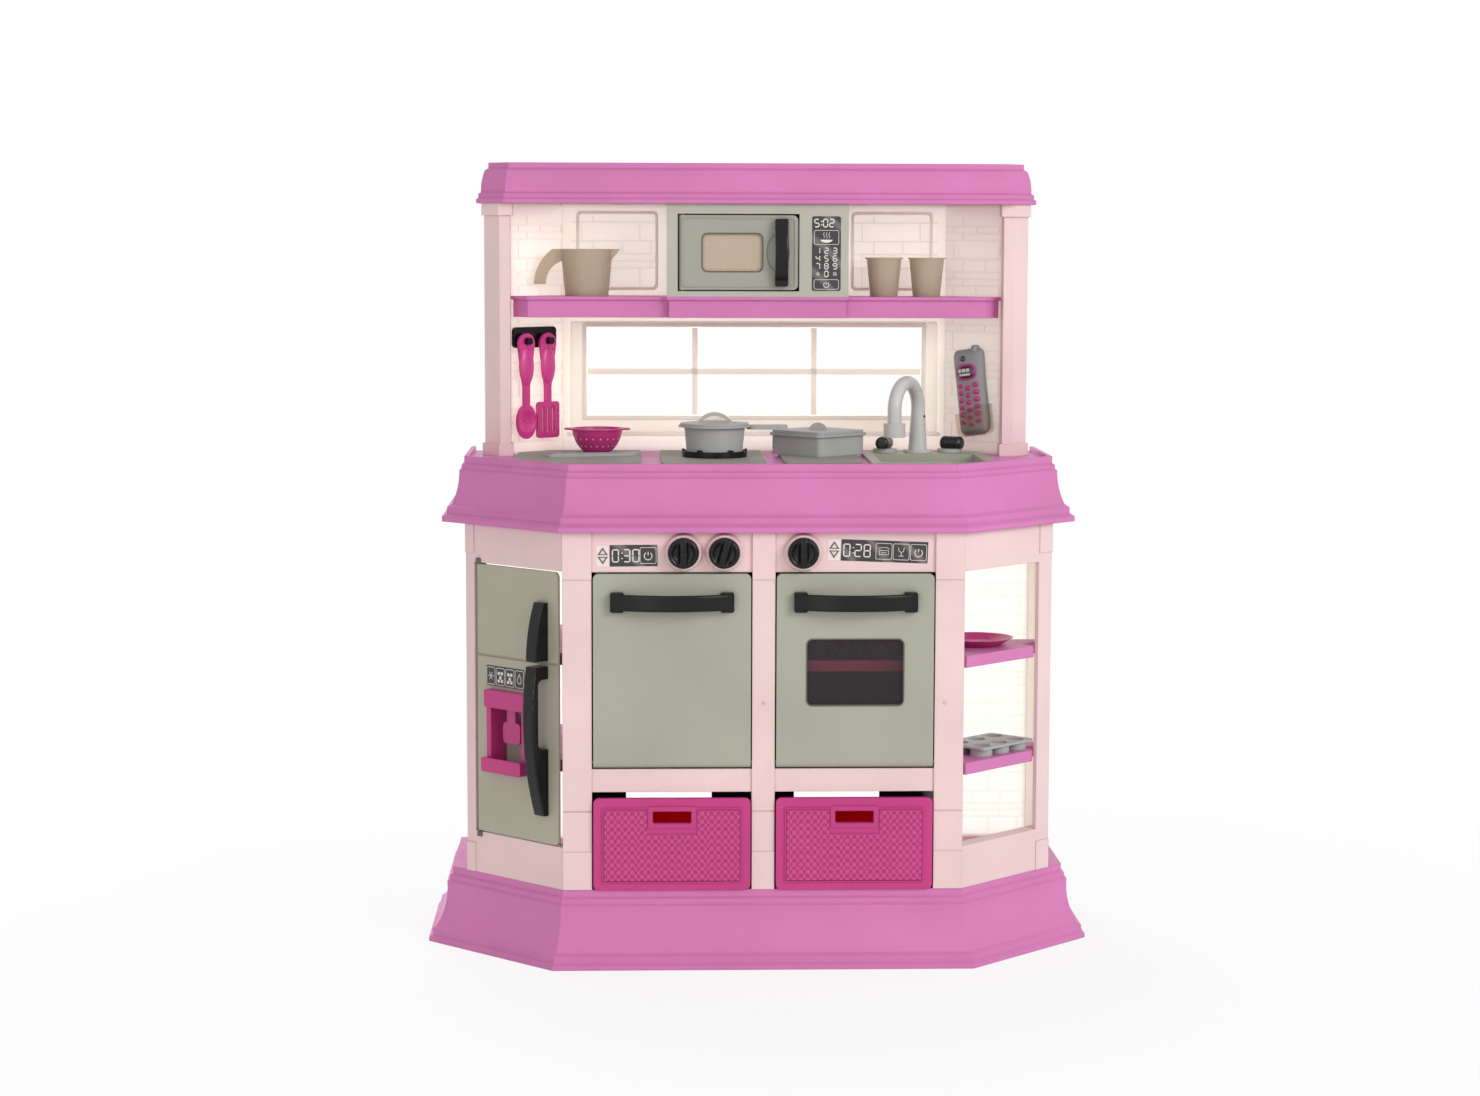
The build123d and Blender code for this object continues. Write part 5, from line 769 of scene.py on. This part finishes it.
# Phone: soft tapered shell with an aerial, ear slot, framed screen and oval keys
PHONE_SPOT, PHONE_TILT, PHONE_OUT = (263.391, 111.109, 570), radians(8), 2.4
phone_across = (cos(PHONE_TILT) * DIAGONAL, -cos(PHONE_TILT) * DIAGONAL, sin(PHONE_TILT))
phone_place = place(PHONE_SPOT, phone_across, (-DIAGONAL, -DIAGONAL, 0)) @ Matrix.Translation((0, 0, PHONE_OUT))
PHONE_LONG, PHONE_HALF, PHONE_DEEP = 100, 22, 14


def phone_front(x, y):
    """Height of the phone's crowned face."""
    return PHONE_DEEP - 0.9 - 3.2 * (abs(x) / PHONE_HALF) ** 2.6 - 1.6 * max(0, (y - 70) / 30) ** 2


def squared(value, power=0.5):
    """A sine or cosine drawn out towards the corners of a rectangle."""
    return abs(value) ** power * (1 if value >= 0 else -1)


shell = bmesh.new()
STATIONS, AROUND = 40, 48
loops = []
for station in range(STATIONS + 1):
    y = PHONE_LONG * (0.5 - 0.5 * cos(pi * station / STATIONS))
    end = min(y, PHONE_LONG - y)
    close = min(1, end / 9)
    size = sqrt(max(0.02, 1 - (1 - close) ** 2))
    waist = PHONE_HALF * (1 - 0.06 * sin(pi * y / PHONE_LONG) - 0.1 * max(0, 1 - y / 30) ** 2)
    loop = []
    for cx, cz in circle(1, AROUND):
        x = waist * (0.72 + 0.28 * size) * squared(cx)
        top = phone_front(x, y)
        middle = top * 0.5
        z = middle + (top - middle) * size * squared(cz)
        loop.append(shell.verts.new((x, y, z)))
    loops.append(loop)
bridge(shell, loops)
shell.faces.new(loops[0][::-1])
shell.faces.new(loops[-1])
phone_grey = plastic("phone_grey", (146, 149, 151), 0.36, Specular_IOR_Level=0.45)
phone_shell = piece("phone_shell", shell, phone_place, phone_grey, "phone", smooth=60)
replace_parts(phone_shell, "phone")


def draped(mesh, outline, low, high, soften):
    """Plate that follows the phone's face."""
    start = len(mesh.verts)
    slab(mesh, outline, low, high, soften)
    mesh.verts.ensure_lookup_table()
    for vertex in mesh.verts[start:]:
        vertex.co.z += phone_front(vertex.co.x, vertex.co.y)


def oval(half_x, half_y, x, y, count=24, power=0.75):
    return [(x + half_x * squared(cx, power), y + half_y * squared(cy, power)) for cx, cy in circle(1, count)]


SCREEN_X, SCREEN_Y, EAR_X, EAR_Y = -1, 73, -4, 89
DIAL_PITCH_X, DIAL_PITCH_Y, DIAL_TOP, DIAL_SAG = 11.2, 8.4, 57.5, 3.2
aerial = bmesh.new()
slab(aerial, moved(rounded(8.4, 12, 3.6), 11, 97.5), 2.5, 10.5, 2)
piece("phone_aerial", aerial, phone_place, phone_grey, "phone", smooth=50)
bezel = bmesh.new()
draped(bezel, oval(15.5, 9.6, SCREEN_X, SCREEN_Y), -0.6, 0.7, 0.5)
piece("phone_bezel", bezel, phone_place, look["magenta"], "phone", smooth=50)
screen = bmesh.new()
draped(screen, oval(13, 7.2, SCREEN_X, SCREEN_Y), 0.1, 0.95, 0.2)
screen_look = plastic("phone_screen", (48, 44, 48), 0.16, grain=0.05, edge_rub_and_highlight=0, tone=0.1, Coat_Weight=0.5)
piece("phone_screen", screen, phone_place, screen_look, "phone", smooth=50)
readout = bmesh.new()
for x in (-9.5, -3.6, 2.3):
    draped(readout, moved(rounded(5, 4, 0.8, 2), x + 0.8, 75.2), 0.9, 1.1, 0.05)
draped(readout, moved(rounded(16, 2.6, 0.8, 2), -1.8, 70.2), 0.9, 1.1, 0.05)
piece("phone_readout", readout, phone_place, label_silver, "phone")
ear = bmesh.new()
draped(ear, oval(4.2, 3.2, EAR_X, EAR_Y), -0.8, 0.25, 0.2)
for shift in (-1.4, 0, 1.4):
    draped(ear, oval(0.42, 2, EAR_X + shift, EAR_Y, 12), 0.2, 0.42, 0.05)
piece("phone_ear", ear, phone_place, screen_look, "phone", smooth=50)
keys = bmesh.new()
for row in range(6):
    for column in range(3):
        x = (column - 1) * DIAL_PITCH_X
        y = DIAL_TOP - row * DIAL_PITCH_Y - (DIAL_SAG if column == 1 else 0)
        draped(keys, oval(4.4, 2.9, x, y), -0.8, 1.15, 0.9)
piece("phone_keys", keys, phone_place, look["magenta"], "phone", smooth=60)

# Phone holder: thin clear pocket with a round foot, higher on the side towards the post
POCKET_HALF, POCKET_DEEP, POCKET_WALL, POCKET_ROUND = 24.2, 18.6, 1.5, 8
POCKET_TOP, POCKET_SLOPE = 29, 4.5


def pocket_loop(mesh, inset, y, slope):
    """One level of the pocket, drawn in by the inset and higher towards positive x by the slope."""
    half_deep = POCKET_DEEP / 2 - min(inset, POCKET_DEEP / 3)
    loop = []
    for cx, cz in circle(1, AROUND):
        x = (POCKET_HALF - inset) * squared(cx)
        z = POCKET_DEEP / 2 + half_deep * squared(cz)
        loop.append(mesh.verts.new((x, y + slope * x / POCKET_HALF, z)))
    return loop


pocket = bmesh.new()
bends = [radians(a) for a in range(0, 91, 15)]
loops = [pocket_loop(pocket, POCKET_ROUND * (1 - sin(a)), -2 + POCKET_ROUND * (1 - cos(a)), 0) for a in bends]
loops.append(pocket_loop(pocket, 0, POCKET_TOP, POCKET_SLOPE))
loops.append(pocket_loop(pocket, POCKET_WALL, POCKET_TOP, POCKET_SLOPE))
loops += [pocket_loop(pocket, POCKET_WALL + POCKET_ROUND * (1 - sin(a)), -0.6 + POCKET_ROUND * (1 - cos(a)), 0)
          for a in bends[::-1]]
bridge(pocket, loops)
pocket.faces.new(loops[0][::-1])
pocket.faces.new(loops[-1])
pocket_place = phone_place @ Matrix.Translation((0, 0, -PHONE_OUT))
pocket_look = plastic("pocket_smoke", (238, 230, 222), 0.12, grain=0.03, edge_rub_and_highlight=0, grime=0,
                      Transmission_Weight=0.97, IOR=1.08)
phone_pocket = piece("phone_pocket", pocket, pocket_place, pocket_look, "cabinet", smooth=40)
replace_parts(phone_pocket, "phone_holder")

# Holes of the colander: pale discs, painted light where the holes show light through them
bowl = nodes["colander"].data
bowl_tree = BVHTree.FromPolygons([v.co for v in bowl.vertices], [list(p.vertices) for p in bowl.polygons])
low, high = (Vector(corner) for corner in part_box("colander"))
middle = (low + high) / 2
HOLES_ROUND, HOLE_RADIUS, CAST_FROM = 20, 1, 0.2
holes = bmesh.new()
for level, turn in ((0.28, 0), (0.58, 9)):
    for step in range(HOLES_ROUND):
        angle = radians(360 / HOLES_ROUND * step + turn)
        outward = Vector((cos(angle), sin(angle), 0))
        aim = Vector((middle.x, middle.y, low.z + (high.z - low.z) * level))
        spot, normal = bowl_tree.ray_cast(aim + outward * CAST_FROM, -outward)[:2]
        turned = place(spot / MM, normal.cross(Vector((0, 0, 1))), normal)
        start = len(holes.verts)
        slab(holes, circle(HOLE_RADIUS, 12), ROOT, 0.2, 0.1)
        holes.verts.ensure_lookup_table()
        for vertex in holes.verts[start:]:
            vertex.co = turned @ vertex.co
hole_light_look = plastic("hole_painted_light", (240, 190, 212), 0.5)
piece("colander_holes", holes, Matrix.Identity(4), hole_light_look, "colander")


def box_mm(node):
    """Low corner, high corner and middle of a CAD node, in millimetres."""
    low, high = ([value / MM for value in corner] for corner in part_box(node))
    return low, high, [(a + b) / 2 for a, b in zip(low, high)]


# Rim of the burner between its prongs
GRATE_DISC, PRONGS_SHOW, RIM_INSET, RIM_WALL, RIM_SIDES = 3, 2, 0.1, 1.5, 64
low, high, middle = box_mm("burner_grate")
outer = (high[0] - low[0]) / 2 - RIM_INSET
rim = bmesh.new()
ring(rim, circle(outer, RIM_SIDES), circle(outer - RIM_WALL, RIM_SIDES), GRATE_DISC,
     high[2] - low[2] - PRONGS_SHOW, 0.4)
rim_place = level_place(middle[0], middle[1], low[2])
piece("burner_rim", rim, rim_place, look["black"], "cabinet", smooth=40)

# Swollen grips of the hanging utensils
GRIP_DROP, GRIP_LIFT = 38, 0.8
GRIP_HALVES = (11, 23, 4.5)
for node in ("spoon", "spatula"):
    low, high, middle = box_mm(node)
    grip = bmesh.new()
    bmesh.ops.create_uvsphere(grip, u_segments=32, v_segments=20, radius=1)
    swell = Matrix.Translation((0, 0, GRIP_LIFT)) @ Matrix.Diagonal((*GRIP_HALVES, 1))
    bmesh.ops.transform(grip, matrix=swell, verts=grip.verts)
    grip_place = place((middle[0], middle[1], high[2] - GRIP_DROP), (1, 1, 0), (1, -1, 0))
    piece(f"{node}_grip", grip, grip_place, utensil_lit_magenta, node, smooth=60)

# Floor: pale under the part, fading into the white background
FLOOR_RADIUS = 9
floor_mesh = bmesh.new()
bmesh.ops.create_circle(floor_mesh, cap_ends=True, segments=64, radius=FLOOR_RADIUS)
floor_data = bpy.data.meshes.new("floor")
floor_mesh.to_mesh(floor_data)
floor_mesh.free()
floor = bpy.data.objects.new("floor", floor_data)
bpy.context.scene.collection.objects.link(floor)
ground = Shader("floor")
ground.bsdf.inputs["Base Color"].default_value = (0.94, 0.94, 0.94, 1)
ground.bsdf.inputs["Roughness"].default_value = 0.8
path = ground.node("ShaderNodeLightPath")
glow = ground.node("ShaderNodeEmission")
distance = ground.node("ShaderNodeVectorMath", operation="LENGTH")
ground.link(ground.coordinates, distance.inputs[0])
far = ground.span(distance.outputs["Value"], 0.8, 1, 0.45, 1.2)
seen = ground.math("MAXIMUM", path.outputs["Is Camera Ray"],
                   ground.math("MAXIMUM", path.outputs["Is Glossy Ray"], path.outputs["Is Transmission Ray"]))
blend = ground.node("ShaderNodeMixShader")
ground.link(ground.math("MULTIPLY", seen, far), blend.inputs["Fac"])
ground.link(ground.bsdf.outputs["BSDF"], blend.inputs[1])
ground.link(glow.outputs["Emission"], blend.inputs[2])
ground.link(blend.outputs["Shader"], ground.tree.nodes["Material Output"].inputs["Surface"])
floor_data.materials.append(ground.material)

# World: white to the camera, in reflections and through clear pieces, softer as light
SKY_LIGHT = 0.5
world = bpy.data.worlds.new("studio")
bpy.context.scene.world = world
world.use_nodes = True
tree = world.node_tree
tree.nodes.clear()
out = tree.nodes.new("ShaderNodeOutputWorld")
path = tree.nodes.new("ShaderNodeLightPath")
white = tree.nodes.new("ShaderNodeBackground")
white.inputs["Strength"].default_value = 1
white.inputs["Color"].default_value = (1, 1, 1, 1)
dim = tree.nodes.new("ShaderNodeBackground")
dim.inputs["Color"].default_value = (1, 1, 1, 1)
dim.inputs["Strength"].default_value = SKY_LIGHT
either = tree.nodes.new("ShaderNodeMath")
either.operation = "MAXIMUM"
both = tree.nodes.new("ShaderNodeMath")
both.operation = "MAXIMUM"
tree.links.new(path.outputs["Is Camera Ray"], either.inputs[0])
tree.links.new(path.outputs["Is Glossy Ray"], either.inputs[1])
tree.links.new(either.outputs["Value"], both.inputs[0])
tree.links.new(path.outputs["Is Transmission Ray"], both.inputs[1])
join = tree.nodes.new("ShaderNodeMixShader")
tree.links.new(both.outputs["Value"], join.inputs["Fac"])
tree.links.new(dim.outputs["Background"], join.inputs[1])
tree.links.new(white.outputs["Background"], join.inputs[2])
tree.links.new(join.outputs["Shader"], out.inputs["Surface"])


def lamp(name, spot, aim, size, power):
    """Round area lamp, sizes in metres and power in watts."""
    data = bpy.data.lights.new(name, "AREA")
    data.shape = "DISK"
    data.size = size
    data.energy = power
    made = bpy.data.objects.new(name, data)
    made.location = spot
    made.rotation_euler = (Vector(aim) - Vector(spot)).to_track_quat("-Z", "Y").to_euler()
    bpy.context.scene.collection.objects.link(made)
    return made


lamp("key", (1.9, -2.3, 1.7), (0, 0, 0.45), 1.6, 44)
lamp("fill", (-1.4, -3.1, 1.1), (0, 0, 0.5), 2.2, 15.5).data.color = (1, 0.95, 0.84)
lamp("back", (-0.9, 2.1, 0.9), (0, 0, 0.5), 2.2, 47).visible_glossy = False

# Camera fitted to the photograph
SENSOR, FOCAL_PX, PHOTO_PX = 36, 2976, 1480
CAMERA_SPOT = (-0.1408, -3.351, 0.799)
camera_data = bpy.data.cameras.new("camera")
camera_data.sensor_width = SENSOR
camera_data.lens = FOCAL_PX / PHOTO_PX * SENSOR
camera = bpy.data.objects.new("camera", camera_data)
yaw, pitch, roll = radians(2.038), radians(5.979), radians(0.172)
forward = Vector((sin(yaw) * cos(pitch), cos(yaw) * cos(pitch), -sin(pitch)))
turn = forward.to_track_quat("-Z", "Y").to_matrix().to_4x4()
camera.matrix_world = Matrix.Translation(CAMERA_SPOT) @ turn @ Matrix.Rotation(roll, 4, "Z")
bpy.context.scene.collection.objects.link(camera)
bpy.context.scene.camera = camera
bpy.context.scene.view_settings.view_transform = "Standard"
